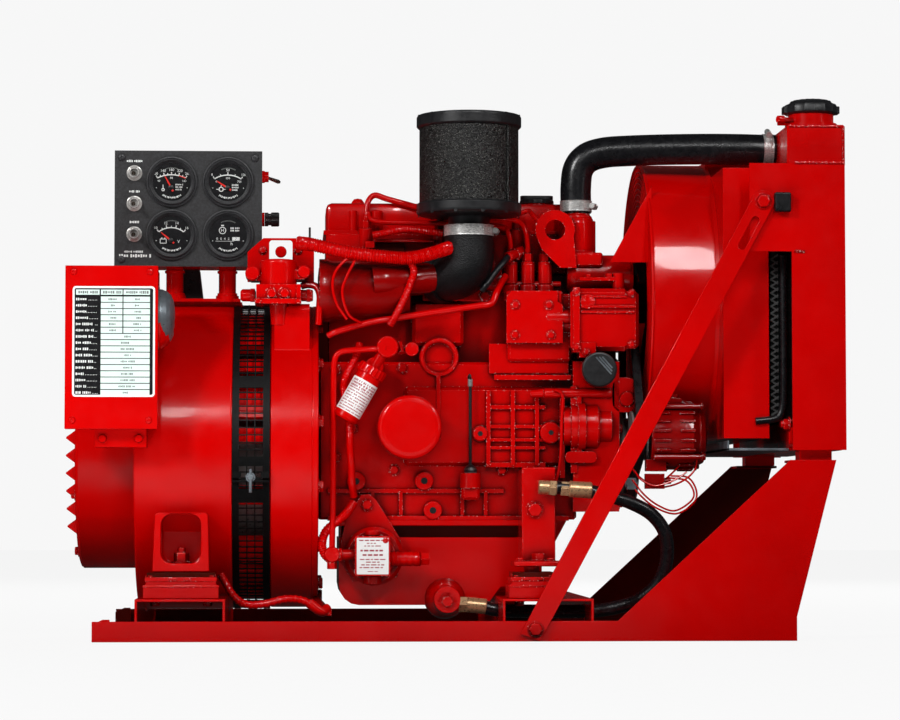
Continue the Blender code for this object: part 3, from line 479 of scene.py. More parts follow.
def tube(points, radius, sides=12, steps=8, section=None):
    """A pipe along a smooth curve. section(place along it, 0 to 1) may scale its radius."""
    route = smooth_route(points, steps)
    made, rings = bmesh.new(), []
    normal = None
    for index, point in enumerate(route):
        ahead = route[min(index + 1, len(route) - 1)] - route[max(index - 1, 0)]
        ahead.normalize()
        normal = (normal or ahead.orthogonal()) - ahead * (normal or ahead.orthogonal()).dot(ahead)
        normal.normalize()
        side = ahead.cross(normal)
        r = radius * (section(index / (len(route) - 1)) if section else 1)
        ring = [made.verts.new(point + (normal * math.cos(a) + side * math.sin(a)) * r)
                for a in (math.tau * s / sides for s in range(sides))]
        rings.append(ring)
    for one, other in zip(rings, rings[1:]):
        for s in range(sides):
            made.faces.new([one[s], one[(s + 1) % sides], other[(s + 1) % sides], other[s]])
    made.faces.new(rings[0])
    made.faces.new(rings[-1])
    bmesh.ops.recalc_face_normals(made, faces=made.faces)
    return made


def mirrored(made):
    bmesh.ops.scale(made, vec=(1, -1, 1), verts=made.verts)
    bmesh.ops.reverse_faces(made, faces=made.faces)
    return made


def spaced(count, start=0.0):
    """Angles in radians, spaced evenly round a circle."""
    return [math.tau * (step + start) / count for step in range(count)]


def as_drawn(made):
    """Goes with mirrored where a loop makes both sides."""
    return made


def arc(centre, radius, start, end, steps=8):
    angles = [math.radians(start + (end - start) * step / steps) for step in range(steps + 1)]
    return [(centre[0] + radius * math.cos(a), centre[1] + radius * math.sin(a)) for a in angles]


def around(radius, angles):
    """Points of a circle about the origin, at angles in degrees clockwise from the top."""
    return [(radius * math.sin(a), radius * math.cos(a)) for a in map(math.radians, angles)]


def rounded(left, low, right, high, radius, steps=5):
    """A rectangle's outline with round corners."""
    corners = [((right - radius, low + radius), -90), ((right - radius, high - radius), 0),
               ((left + radius, high - radius), 90), ((left + radius, low + radius), 180)]
    return [point for centre, start in corners for point in arc(centre, radius, start, start + 90, steps)]


# ---------------------------------------------------------------- pieces


def joined(shapes):
    made = bmesh.new()
    for shape in shapes:
        mesh = bpy.data.meshes.new("part")
        shape.to_mesh(mesh)
        made.from_mesh(mesh)
        bpy.data.meshes.remove(mesh)
        shape.free()
    return made


def mesh_object(name, shapes, material):
    made = joined(shapes)
    bmesh.ops.transform(made, matrix=Matrix.Scale(MM, 4), verts=made.verts)
    mesh = bpy.data.meshes.new(name)
    made.to_mesh(mesh)
    made.free()
    mesh.materials.append(material)
    body = bpy.data.objects.new(name, mesh)
    scene.collection.objects.link(body)
    return body


def soften(body, bevel):
    """Rounds a piece's sharp edges and shades the rest smooth."""
    if bevel:
        edge = body.modifiers.new("edges", "BEVEL")
        edge.width, edge.segments, edge.limit_method = bevel * MM, 2, "ANGLE"
        edge.angle_limit = SHARP_ANGLE
        edge.use_clamp_overlap = True
        edge.harden_normals = True
    body.data.shade_smooth()
    body.data.set_sharp_from_angle(angle=SHARP_ANGLE)


def piece(name, shapes, material, body="frame", bevel=0.5, stands_for=(), cuts=()):
    """A finished piece: its shapes joined, cut, softened and riding on its body."""
    made = mesh_object(name, shapes, LOOKS[material])
    for number, cutter in enumerate(cuts):
        tool = mesh_object(f"{name}_cut_{number}", [cutter], LOOKS[material])
        boolean = made.modifiers.new("cut", "BOOLEAN")
        boolean.operation, boolean.object, boolean.solver = "DIFFERENCE", tool, "EXACT"
        bpy.context.view_layer.update()
        graph = bpy.context.evaluated_depsgraph_get()
        cut_mesh = bpy.data.meshes.new_from_object(made.evaluated_get(graph))
        made.modifiers.clear()
        made.data = cut_mesh
        bpy.data.objects.remove(tool)
    soften(made, bevel)
    if stands_for:
        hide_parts(*stands_for)
    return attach(made, body)


def keep(node, material, bevel):
    """A CAD node that stays: welded, its edges rounded, in a finished material."""
    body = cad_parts[node]
    mesh = body.data
    if "custom_normal" in mesh.attributes:
        mesh.attributes.remove(mesh.attributes["custom_normal"])
    body.modifiers.new("weld", "WELD").merge_threshold = 0.00001
    flat = body.modifiers.new("flat", "DECIMATE")
    flat.decimate_type, flat.angle_limit = "DISSOLVE", math.radians(0.8)
    soften(body, bevel)
    mesh.materials.clear()
    mesh.materials.append(LOOKS[material])


KEPT = {
    "sheet": "side_frame_front side_frame_rear generator_cross_channel engine_cross_channel "
    "terminal_box terminal_box_cover panel_box radiator_frame fan_shroud brace_front brace_rear oil_pan "
    "generator_barrel oil_filter lift_pump rocker_cover",
    # Kept parts in the darker red: painted shade.
    "painted_shade_red": "starter_motor charging_alternator",
    "cast": "engine_bracket_front engine_block cylinder_head injection_pump flywheel_housing "
    "generator_end_bell fuel_filter speed_lever",
    "isolator": "isolator_generator_front isolator_generator_rear isolator_engine_front "
    "isolator_engine_rear",
    "panel": "panel_face",
    "powder": "ventilation_band cooling_fan radiator_cap radiator_core",
    "crinkle": "air_cleaner",
    "plastic": "gauge_water_temperature gauge_oil_pressure gauge_volts gauge_engine_hours fuse_cap "
    "top_filler_cap side_filler_cap",
    "rubber": "intake_elbow fan_belt upper_hose drain_hose",
    "steel": "crankshaft alternator_pulley dipstick generator_rotor exhaust_manifold",
    "lever": "toggle_preheat toggle_start toggle_stop toggle_panel_side",
    "pointer": "needle_water_temperature needle_oil_pressure needle_volts",
}


def keep_frame():
    for material, nodes in KEPT.items():
        for node in nodes.split():
            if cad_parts[node].hide_render:
                continue
            keep(node, material, 0.3 if material in ("lever", "pointer", "steel") else 0.7)
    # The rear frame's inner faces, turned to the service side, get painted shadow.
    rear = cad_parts["side_frame_rear"].data
    rear.materials.append(LOOKS["shadow"])
    for face in rear.polygons:
        face.material_index = int(face.normal.y < -0.7)


# ---------------------------------------------------------------- control panel

GAUGES = {"water_temperature": (-338.2, 547.0), "oil_pressure": (-270.4, 547.0),
          "volts": (-338.2, 483.0), "engine_hours": (-270.4, 483.0)}
DIAL_Y = -93.4


def letters(text, x, z, high, y=DIAL_Y - 0.12):
    """Flat characters facing the service side."""
    curve = bpy.data.curves.new("text", "FONT")
    curve.body, curve.size, curve.extrude = text, high * 1.35, 0.05
    curve.align_x, curve.align_y, curve.resolution_u = "CENTER", "CENTER", 2
    holder = bpy.data.objects.new("text", curve)
    scene.collection.objects.link(holder)
    bpy.context.view_layer.update()
    mesh = bpy.data.meshes.new_from_object(holder.evaluated_get(bpy.context.evaluated_depsgraph_get()))
    made = bmesh.new()
    made.from_mesh(mesh)
    bpy.data.objects.remove(holder)
    bpy.data.meshes.remove(mesh)
    stand = Matrix.Rotation(math.radians(90), 4, "X")
    bmesh.ops.transform(made, matrix=Matrix.Translation((x, y, z)) @ stand, verts=made.verts)
    return made


def sector(centre, inner, outer, start, end, steps=24, low=DIAL_Y - 0.1, high=DIAL_Y):
    """Part of a flat ring, its angles in degrees clockwise from the top."""
    ring = arc(centre, inner, 90 - start, 90 - end, steps) + arc(centre, outer, 90 - end, 90 - start, steps)
    return plate(ring, "Y", low, high)


def bar_at(x, z, wide, high, y=DIAL_Y):
    """A thin printed bar, its middle at x and z and its face at y."""
    return plate([(x - wide / 2, z - high / 2), (x + wide / 2, z - high / 2),
                  (x + wide / 2, z + high / 2), (x - wide / 2, z + high / 2)], "Y", y - 0.12, y)


def scribble(start, end, z, high, y=DIAL_Y):
    """A line of print too small to read: upright marks with gaps between the groups."""
    shapes, x, left = [], start, random.randint(3, 7)
    while x < end:
        wide = high * random.uniform(0.34, 0.6)
        shapes.append(bar_at(x + wide / 2, z, wide, high * random.choice((0.7, 1, 1)), y))
        x += wide + high * 0.24
        left -= 1
        if not left:
            x += high * 0.5
            left = random.randint(3, 8)
    return shapes


def dial_scale(x, z, majors, minors, numbers, reach, radius, inner=()):
    """A flat arc over the pivot: long and short ticks, and numbers outside and inside it."""
    centre, shapes = (x - 0.4, z + 9.4 - radius), []
    shapes.append(sector(centre, radius - 1.3, radius, -reach, reach))
    for count, long, wide in ((majors, 2.6, 1.2), (minors, 1.6, 0.8)):
        for step in range(count):
            angle = -reach + 2 * reach * step / (count - 1)
            half = math.degrees(wide / 2 / radius)
            shapes.append(sector(centre, radius - 0.2, radius + long, angle - half, angle + half, 1))
    for group, radius, high in ((numbers, radius + 5.2, 3.3), (inner, radius - 4.6, 2.6)):
        for step, text in enumerate(group):
            share = step / (len(group) - 1) if len(group) > 1 else 0.5
            angle = math.radians(-reach + 2 * reach * share)
            shapes.append(letters(text, centre[0] + radius * math.sin(angle),
                                  centre[1] + radius * math.cos(angle), high))
    return shapes


def make_gauges():
    shapes, bezels, lenses, dials, red_marks, faint = [], [], [], [], [], []
    for name, (x, z) in GAUGES.items():
        profile = [(22.8, -92.4), (30.3, -92.4), (30.6, -93), (30.6, -95.0), (30.2, -95.7),
                   (29.0, -95.9), (28.5, -95.6), (28.4, -94.9), (27.9, -94.9), (27.7, -97.3),
                   (27.2, -97.8), (26.4, -97.8), (26.1, -97.2), (25.9, -96.4), (25.3, -96.3),
                   (25.1, -95.6), (24.4, -95.5), (24.1, -94.6), (23.3, -94.4), (22.8, -93.8)]
        bezels.append(turned(profile, "Y", (x, z), 80))
        bezels.append(disc(26, -92.2, -52.3, "Y", (x, z), 48))
        dials.append(disc(23.4, DIAL_Y, -92.3, "Y", (x, z), 64))
        lenses.append(disc(26.2, -96.9, -96.4, "Y", (x, z), 64))
        for side in (-1, 1):
            shapes.append(bar_at(x + side * 18.5, z - 7, 0.9, 0.9))
    for x, z in GAUGES.values():
        for step in range(13):
            a = 145 + 5.6 * step
            shapes.append(sector((x, z), 18.0, 20.2 - 0.5 * (step % 2), a, a + 2.4 + step % 3, 1))
        faint += [sector((x, z), 16.6, 17.8, a, a + 3, 1) for a in range(-28, 28, 5)]
    x, z = GAUGES["water_temperature"]
    shapes += dial_scale(x, z, 5, 9, ("100", "140", "180", "220", "260"), 27, 38, ("40", "80", "120"))
    red_marks.append(sector((x - 0.4, z - 28.6), 36.6, 37.6, 14, 27, low=DIAL_Y - 0.16, high=DIAL_Y - 0.05))
    icon = (x - 10.5, z - 8)
    shapes += [bar_at(icon[0], icon[1] + 2.2, 0.9, 5), sector((icon[0], icon[1] - 1.4), 0.9, 1.9, 0, 360)]
    for row in range(3):
        shapes += scribble(x + 4.5, x + 13.5 - row, z - 3.2 - 3 * row, 1.9)
    x, z = GAUGES["oil_pressure"]
    shapes += dial_scale(x, z, 3, 5, ("0", "50", "100"), 33, 30, ("0", "350", "700"))
    icon = (x - 8.5, z - 8.6)
    shapes += [sector(icon, 2.0, 3.0, 0, 360), bar_at(icon[0], icon[1] + 4, 0.9, 2)]
    shapes += [bar_at(icon[0] + s * 4.4, icon[1], 2.6, 0.8) for s in (-1, 1)]
    for row in range(3):
        shapes += scribble(x + 4.5, x + 12.5 - row, z - 3.4 - 3 * row, 1.9)
    x, z = GAUGES["volts"]
    shapes += dial_scale(x, z, 4, 7, ("10", "12", "14", "16"), 38, 25)
    icon = (x - 10, z - 7.6)
    shapes += [bar_at(icon[0], icon[1] + h, 7.6, 0.8) for h in (-2.5, 2.5)]
    shapes += [bar_at(icon[0] + s * 3.6, icon[1], 0.8, 5.6) for s in (-1, 1)]
    shapes += [bar_at(icon[0] + s * 1.8, icon[1] + 3.6, 1.6, 1.2) for s in (-1, 1)]
    shapes += [letters("V", x + 8.5, z - 8, 3.8)]
    x, z = GAUGES["engine_hours"]
    icon = (x - 6.6, z + 5.6)
    shapes += [sector(icon, 3.5, 4.4, 0, 360), letters("H", *icon, 4.0)]
    shapes += [bar_at(icon[0], icon[1] + 6, 3.4, 1.4)]
    for row in range(2):
        shapes += scribble(x + 3, x + 13.5, z + 8.4 - 3 * row, 2.0)
    shapes += [letters(digit, x - 13 + 4.6 * step, z - 4.6, 3.2) for step, digit in enumerate("0042")]
    shapes += [bar_at(x + 9.6, z - 4.6, 9, 4.2), bar_at(x - 4, z - 7.4, 22, 0.4)]
    shapes += [letters("h", x + 4.4, z - 10.6, 4.2)]
    piece("gauge_bezels", bezels, "bezel", bevel=0,
          stands_for=("gauge_water_temperature", "gauge_oil_pressure", "gauge_volts",
                      "gauge_engine_hours"))
    piece("gauge_dials", dials, "dial", bevel=0)
    piece("gauge_print", shapes, "print", bevel=0)
    piece("gauge_faint_print", faint, "faint", bevel=0)
    piece("gauge_red_marks", red_marks, "pointer", bevel=0)
    piece("gauge_lenses", lenses, "lens", bevel=0)
    piece("hour_digit", [letters("7", x + 9.6, z - 4.6, 3.2, DIAL_Y - 0.2)], "dial", bevel=0)
    for name in ("water_temperature", "oil_pressure", "volts"):
        x, z = GAUGES[name]
        hub = spindle([(0, -96.3), (1.6, -96.25), (2.9, -95.7), (3.1, -95.0)], "Y", (x - 0.8, z - 7), 24)
        piece(f"needle_hub_{name}", [hub], "plastic", body=f"{name}_needle", bevel=0)


def make_panel_details():
    make_gauges()
    screws = []
    for x, z in ((-398.5, 576.5), (-238.4, 576.5), (-398.5, 453), (-238.4, 453)):
        screws += pan_screw((x, -92, z), 4.7)
    piece("panel_screws", screws, "bezel", bevel=0.2)
    nuts, icons, column, face_y = [], [], -383.2, -92.05
    for row, z in enumerate((557.6, 520.8, 483.8)):
        nuts.append(spindle([(9.4, -91.8), (9.4, -92.9), (8.6, -93.3)], "Y", (column, z), 40))
        nuts.append(spindle([(8.6, -93.2), (8.6, -95.4), (7.6, -96.4)], "Y", (column, z), 6))
        nuts.append(turned([(4.5, -96.2), (6.7, -96.2), (6.7, -99.2), (6.0, -100.2), (4.5, -100.2)],
                           "Y", (column, z), 40))
        half = (9.2, 6.2, 5.4)[row]
        icons += scribble(column - half, column + half, z + 14.6, 2.7, face_y)
    icons += scribble(-395, -371, 462.6, 2.4, face_y) + scribble(-401, -363, 457.6, 4, face_y)
    piece("toggle_nuts", nuts, "chrome", bevel=0.25)
    piece("panel_symbols", icons, "print", bevel=0)
    right = -229.45
    side = [spindle([(8.2, right - 0.5), (8.2, right + 2.4), (7.4, right + 3)], "X", (-58, 557.6), 6)]
    piece("side_switch_nut", side, "sheet", bevel=0.3)
    start = right + 2.8
    cap = spindle([(8.4, start), (8.4, start + 4.2), (7.2, start + 4.8), (7.2, start + 7.6),
                   (8.7, start + 8.2), (8.7, start + 16.6), (7.6, start + 17.8)], "X", (-58, 505.6), 48,
                  dip=0.5)
    piece("fuse_cap_knurled", [cap], "plastic", body="fuse_cap_turn", bevel=0, stands_for=("fuse_cap",))
    seams = [disc(12.2, z, z + 3, "Z", (x, -42), 40) for x in (-336, -272) for z in (413.2, 440.5)]
    conduit = [plate([(-326, 404), (-301, 404), (-306, 446.5), (-326, 446.5)], "Y", -34, -8)]
    piece("panel_post_collars", seams, "sheet", bevel=0.4)
    piece("panel_conduit", conduit, "rubber", bevel=2)


# ---------------------------------------------------------------- terminal box


def make_terminal_details():
    screws = []
    for x, z in ((-445, 427), (-357, 427), (-446, 255), (-358, 255)):
        screws += pan_screw((x, -235, z), 4.0)
    for x in (-412, -370):
        screws += [rod((x, -214, 234.4), (x, -221, 234.4), 5.4, 4.6, rim=0.8)]
    piece("terminal_screws", screws, "sheet", bevel=0.3)

    left, low, right, high, y = -446, 282, -351, 410, -235.1
    border = plate(rounded(left, low, right, high, 4), "Y", y - 0.4, y)
    inset = plate(rounded(left + 2.4, low + 2.4, right - 2.4, high - 2.4, 2), "Y", y - 0.55, y - 0.3)
    rows, pitch, top = 16, 7.2, high - 11.5
    cells, lines, marks = [], [], []
    columns = ((-442, -415), (-413.4, -388.6), (-387.4, -357))
    for start, end in columns:
        middle, half = (start + end) / 2, (end - start) * 0.4
        cells.append(bar_at(middle, high - 7, end - start, 6, y - 0.5))
        marks += scribble(middle - half, middle + half, high - 7, 3.2, y - 0.6)
    for row in range(rows):
        z = top - pitch * (row + 0.5)
        split = row < 6
        parts = columns[1:] if split else ((-413.4, -357),)
        for start, end in parts:
            cells.append(bar_at((start + end) / 2, z, end - start, 6.2, y - 0.5))
            if row != 6 or random.random() > 0.3:
                long = random.uniform(5, 9 if split else 20)
                middle = (start + end) / 2 + random.uniform(0, 3)
                marks += scribble(middle - long / 2, middle + long / 2, z, 2.3, y - 0.6)
        word = random.uniform(9, 21)
        lines += scribble(-442, -442 + word, z, 2.9, y - 0.5)
        dots = int((25 - word) / 1.8)
        lines += [bar_at(-440.4 + word + 1.8 * dot, z - 1.1, 0.7, 0.7, y - 0.5)
                  for dot in range(max(dots, 0))]
    piece("rating_plate", [border], "label", bevel=0.15)
    piece("rating_plate_field", [inset], "dial", bevel=0)
    piece("rating_plate_cells", cells, "mint", bevel=0)
    piece("rating_plate_lines", lines, "print", bevel=0)
    piece("rating_plate_marks", marks, "ink", bevel=0)

    right = -349.7
    dome = spindle([(33, right + 0.1), (33.6, right + 2), (33.4, right + 5), (31, right + 10.5),
                    (27, right + 15), (20.6, right + 18), (12, right + 19.4), (0, right + 19.8)], "X",
                   (-187, 376.6), 64)
    ring = turned([(33.5, right), (37.5, right), (37.5, right + 1.5), (33.5, right + 1.5)], "X",
                  (-187, 376.6), 64)
    piece("knockout_dome", [dome, ring], "zinc", bevel=0)


# ---------------------------------------------------------------- generator


def make_generator_details():
    middle = (0, SHAFT_Z)
    barrel = turned([(100, -378), (184.6, -378), (186.4, -377.2), (187, -375.6), (187, -265),
                     (186.2, -263.3), (184.6, -263), (100, -263)], "X", middle, 160)
    feet, pockets, studs = [], [], []
    for flip in (as_drawn, mirrored):
        foot = plate([(-354, 80), (-288, 80), (-289.5, 146), (-293, 149), (-348, 149), (-351.5, 146)],
                     "Y", -212, -110)
        feet.append(flip(foot))
        pockets.append(flip(plate(rounded(-344, 90, -298, 146.4, 12, 8), "Y", -230, -163)))
        stud = [disc(12, 89.5, 92, "Z", (-321, -188), 32),
                spindle([(9.4, 92), (9.4, 101), (8.2, 102.5)], "Z", (-321, -188), 6),
                spindle([(5, 102), (5, 107), (4, 108)], "Z", (-321, -188), 20)]
        studs += [flip(made) for made in stud]
    piece("generator_barrel_shell", [barrel], "round", bevel=0, stands_for=("generator_barrel",))
    piece("generator_feet", feet, "sheet", bevel=1.8, cuts=pockets)
    piece("generator_foot_studs", studs, "cast", bevel=0.5)

    housing = turned([(150, -218.5), (183.6, -218.5), (185, -217.2), (185, -169.4), (184.3, -168.8),
                      (184.3, -168.2), (185, -167.6), (185, -162.6), (183.8, -161.3), (40, -161.3),
                      (40, -169.3), (150, -169.3)], "X", middle, 160)
    boss = plate(rounded(-138, 336, -100, 397.6, 8), "X", -214, -172)
    bolts = []
    for angle in spaced(14, 0.5):
        at = (-161.3, 171 * math.cos(angle), SHAFT_Z + 171 * math.sin(angle))
        bolts += hex_bolt(at, RIGHT, 13, 6, spin=angle)
    piece("flywheel_housing_shell", [housing, boss], "round", bevel=0.6, stands_for=("flywheel_housing",))
    piece("flywheel_housing_bolts", bolts, "cast", bevel=0.4)

    left, right = -262.7, -218.8
    strips = []
    for start, end in ((left, left + 8.0), (right - 8.0, right)):
        strips.append(turned([(184.4, start), (187, start), (187, end), (184.4, end)], "X", middle, 160))
    for x in (left + 17.2, left + 26.6):
        strips.append(turned([(185.2, x - 0.7), (186.6, x - 0.7), (186.6, x + 0.7), (185.2, x + 0.7)],
                             "X", middle, 160))
    for angle in spaced(134):
        bar = block((left + 7, -0.7, 184.9), (right - 7, 0.7, 186.3))
        strips.append(spun(bar, (0, 0, SHAFT_Z), angle))
    for low, high in ((296, 310), (203, 214), (160, 176)):
        first, last = (180 - math.degrees(math.asin((z - SHAFT_Z) / 187)) for z in (low, high))
        band = arc(middle, 186.8, first, last, 6) + arc(middle, 184.6, last, first, 6)
        strips.append(plate(band, "X", left + 7, right - 7))
    piece("ventilation_screen", strips, "powder", bevel=0, stands_for=("ventilation_band",))
    lug = [block((-262, -190, 189), (-252, -187, 196.5)), block((-229, -190, 189), (-219, -187, 196.5)),
           block((-252, -189.4, 187), (-229, -187, 190)),
           block((-262, -189.4, 184), (-219, -187, 186.4))]
    tighten = [*hex_bolt((-241, -190, 190), FRONT, 8, 2.5),
               rod((-241, -190.4, 172), (-241, -190.4, 199.6), 1.9)]
    piece("screen_clamp", lug, "powder", bevel=0.4)
    piece("screen_clamp_bolt", tighten, "zinc", bevel=0.4)
    ribs = []
    for start, end in ((-46, -36), (-20, -13), (4, 10), (14, 27), (34, 40), (-62, -52), (-80, -70),
                       (48, 60), (66, 84)):
        for first, last in ((180 - end, 180 - start), (start, end)):
            rib = arc(middle, 176, first, last, 6) + arc(middle, 162, last, first, 6)
            ribs.append(plate(rib, "X", left - 0.5, right + 0.5))
    piece("adaptor_ribs", ribs, "sheet", bevel=0.8)

    bell = spindle([(131, -450), (135, -448.6), (137, -446), (137, -378.4), (132, -378.4), (132, -434),
                    (34, -434), (34, -422), (18.9, -422), (18.9, -441.8)], "X", middle, 128)
    louvres = [plate([(-449, 348), (-453.5, 348), (-455.5, 346), (-455.5, 330), (-449, 330)], "Y", -44, 44)]
    for tooth in range(9):
        z = SHAFT_Z - 96 + 21 * tooth
        wide = math.sqrt(131**2 - (z + 10 - SHAFT_Z) ** 2) - 3
        hood = [(-449.5, z + 19.6), (-460.4, z + 11.6), (-460.8, z + 9.8), (-449.5, z + 1.4)]
        louvres.append(plate(hood, "Y", -wide, wide))
    ring = []
    for angle in spaced(8, 0.5):
        ring += hex_bolt((-450, 125 * math.cos(angle), SHAFT_Z + 125 * math.sin(angle)), LEFT, 10, 5)
    piece("end_bell_shell", [bell], "round", bevel=0, stands_for=("generator_end_bell",))
    piece("end_bell_louvres", louvres, "sheet", bevel=0.4)
    piece("end_bell_bolts", ring, "cast", bevel=0.4)

    cable = tube([(-276, -172, 76), (-270.8, -175, 67.6), (-260.6, -175, 51.3), (-246.4, -175, 41.5),
                  (-226, -175, 41.5), (-201.6, -175, 47.2), (-181.3, -175, 46.2), (-164, -174, 38)],
                 4.6, 12, 24, lambda t: 1 + 0.07 * math.sin(t * 150))
    lug = [tube([(-172, -174, 43), (-158, -172, 33), (-150, -165, 36)], 6.2, 12, 6),
           block((-160, -172, 28), (-146, -150, 33))]
    tail = tube([(-152, -160, 34), (-153, -130, 34), (-156, -95, 37), (-163, -72, 44), (-168, -66, 50)],
                4.6, 12, 8)
    piece("ground_strap", [cable, *lug, tail], "cast", bevel=0.6)
    piece("panel_saddle", [block((-349, -40, 398), (-254, 40, 405.8))], "sheet", bevel=0.5)


# ---------------------------------------------------------------- fuel solenoid


def make_solenoid_details():
    sheet = plate([(-246.5, 425), (-166.7, 425), (-166.7, 478), (-227.5, 478), (-246.5, 461)], "Y",
                  -112, -109)
    window = plate(rounded(-220.5, 440, -192.7, 475.5, 3.6), "Y", -120, -100)
    knob = aimed(spindle([(5, -1), (6.8, 0.5), (6.8, 6), (6, 7.4), (0, 7.6)], "Z", (0, 0), 40),
                 (-206.5, -118, 460.5), FRONT)
    stem = rod((-206.5, -119, 460.5), (-206.5, -96, 460.5), 3.4)
    can = spindle([(22.2, 416), (22.2, 446), (20.6, 449.4), (17, 450)], "Z", (-209.5, -132), 72)
    piece("solenoid_can", [can, knob], "round", bevel=0.4)
    piece("solenoid_bracket", [sheet], "sheet", bevel=0.4, cuts=[window])
    body = [block((-235.5, -156, 400), (-182.7, -102, 419.3)),
            block((-237, -160, 396), (-182, -98, 402)), block((-229, -116, 410), (-190, -100, 430)),
            stem, block((-188, -158, 400), (-182.6, -146, 419)),
            rod((-208, -130, 397), (-208, -130, 372), 12, 10),
            rod((-186, -110, 398), (-186, -110, 360), 8)]
    ears = [rod((-240, -146, 433), (-240, -110, 433), 8.8, rim=1.5),
            block((-242, -142, 424), (-228, -112, 434)),
            rod((-179, -144, 435), (-179, -110, 435), 8, rim=1.5),
            block((-192, -142, 426), (-178, -112, 438))]
    ports = [rod((-254.5, -132, 407.5), (-236, -132, 407.5), 7.4, rim=2.4),
             hexagon((-243, -132, 407.5), (-237, -132, 407.5), 9),
             rod((-184, -132, 407.5), (-168, -132, 407.5), 7, rim=1),
             hexagon((-176, -132, 407.5), (-171, -132, 407.5), 8.6),
             rod((-160, -132, 395), (-148, -132, 395), 7.6, rim=1, steps=32)]
    bolts = []
    for x, z, y, size in ((-217.3, 408.4, -156, 10.4), (-201.6, 408.4, -156, 10.4),
                          (-228.2, 462.8, -112, 7.6), (-186, 462.8, -112, 7.6)):
        bolts += hex_bolt((x, y, z), FRONT, size, 4)
    for x in (-233, -186):
        bolts += [rod((x, -158, 399), (x, -163, 399), 3)]
    line = tube([(-182, -128, 419), (-174, -130, 420.5), (-164.5, -134, 418), (-160, -137, 408),
                 (-160.5, -138, 392), (-161.5, -138, 372)], 4.2, 16, 8)
    piece("solenoid_fittings", [*body, *ears, *bolts, *ports, line], "cast", bevel=0.8,
          stands_for=("fuel_solenoid",))
    piece("solenoid_pin", [rod((-172, -112, 476), (-172, -112, 491), 1.3)], "plastic", bevel=0.2)
    # A near-black plate in the opening between the flywheel housing and the block: painted shadow.
    piece("engine_rear_painted_shadow", [block((-160.8, -70, 300), (-149.6, 84, 446))], "shadow", bevel=0.6)


# ---------------------------------------------------------------- engine top


def corrugated(points, radius, pitch=3.0, steps=24):
    route = smooth_route(points, 4)
    long = sum((b - a).length for a, b in zip(route, route[1:]))
    return tube(points, radius, 14, steps, lambda t: 1 + 0.075 * math.sin(math.tau * t * long / pitch))


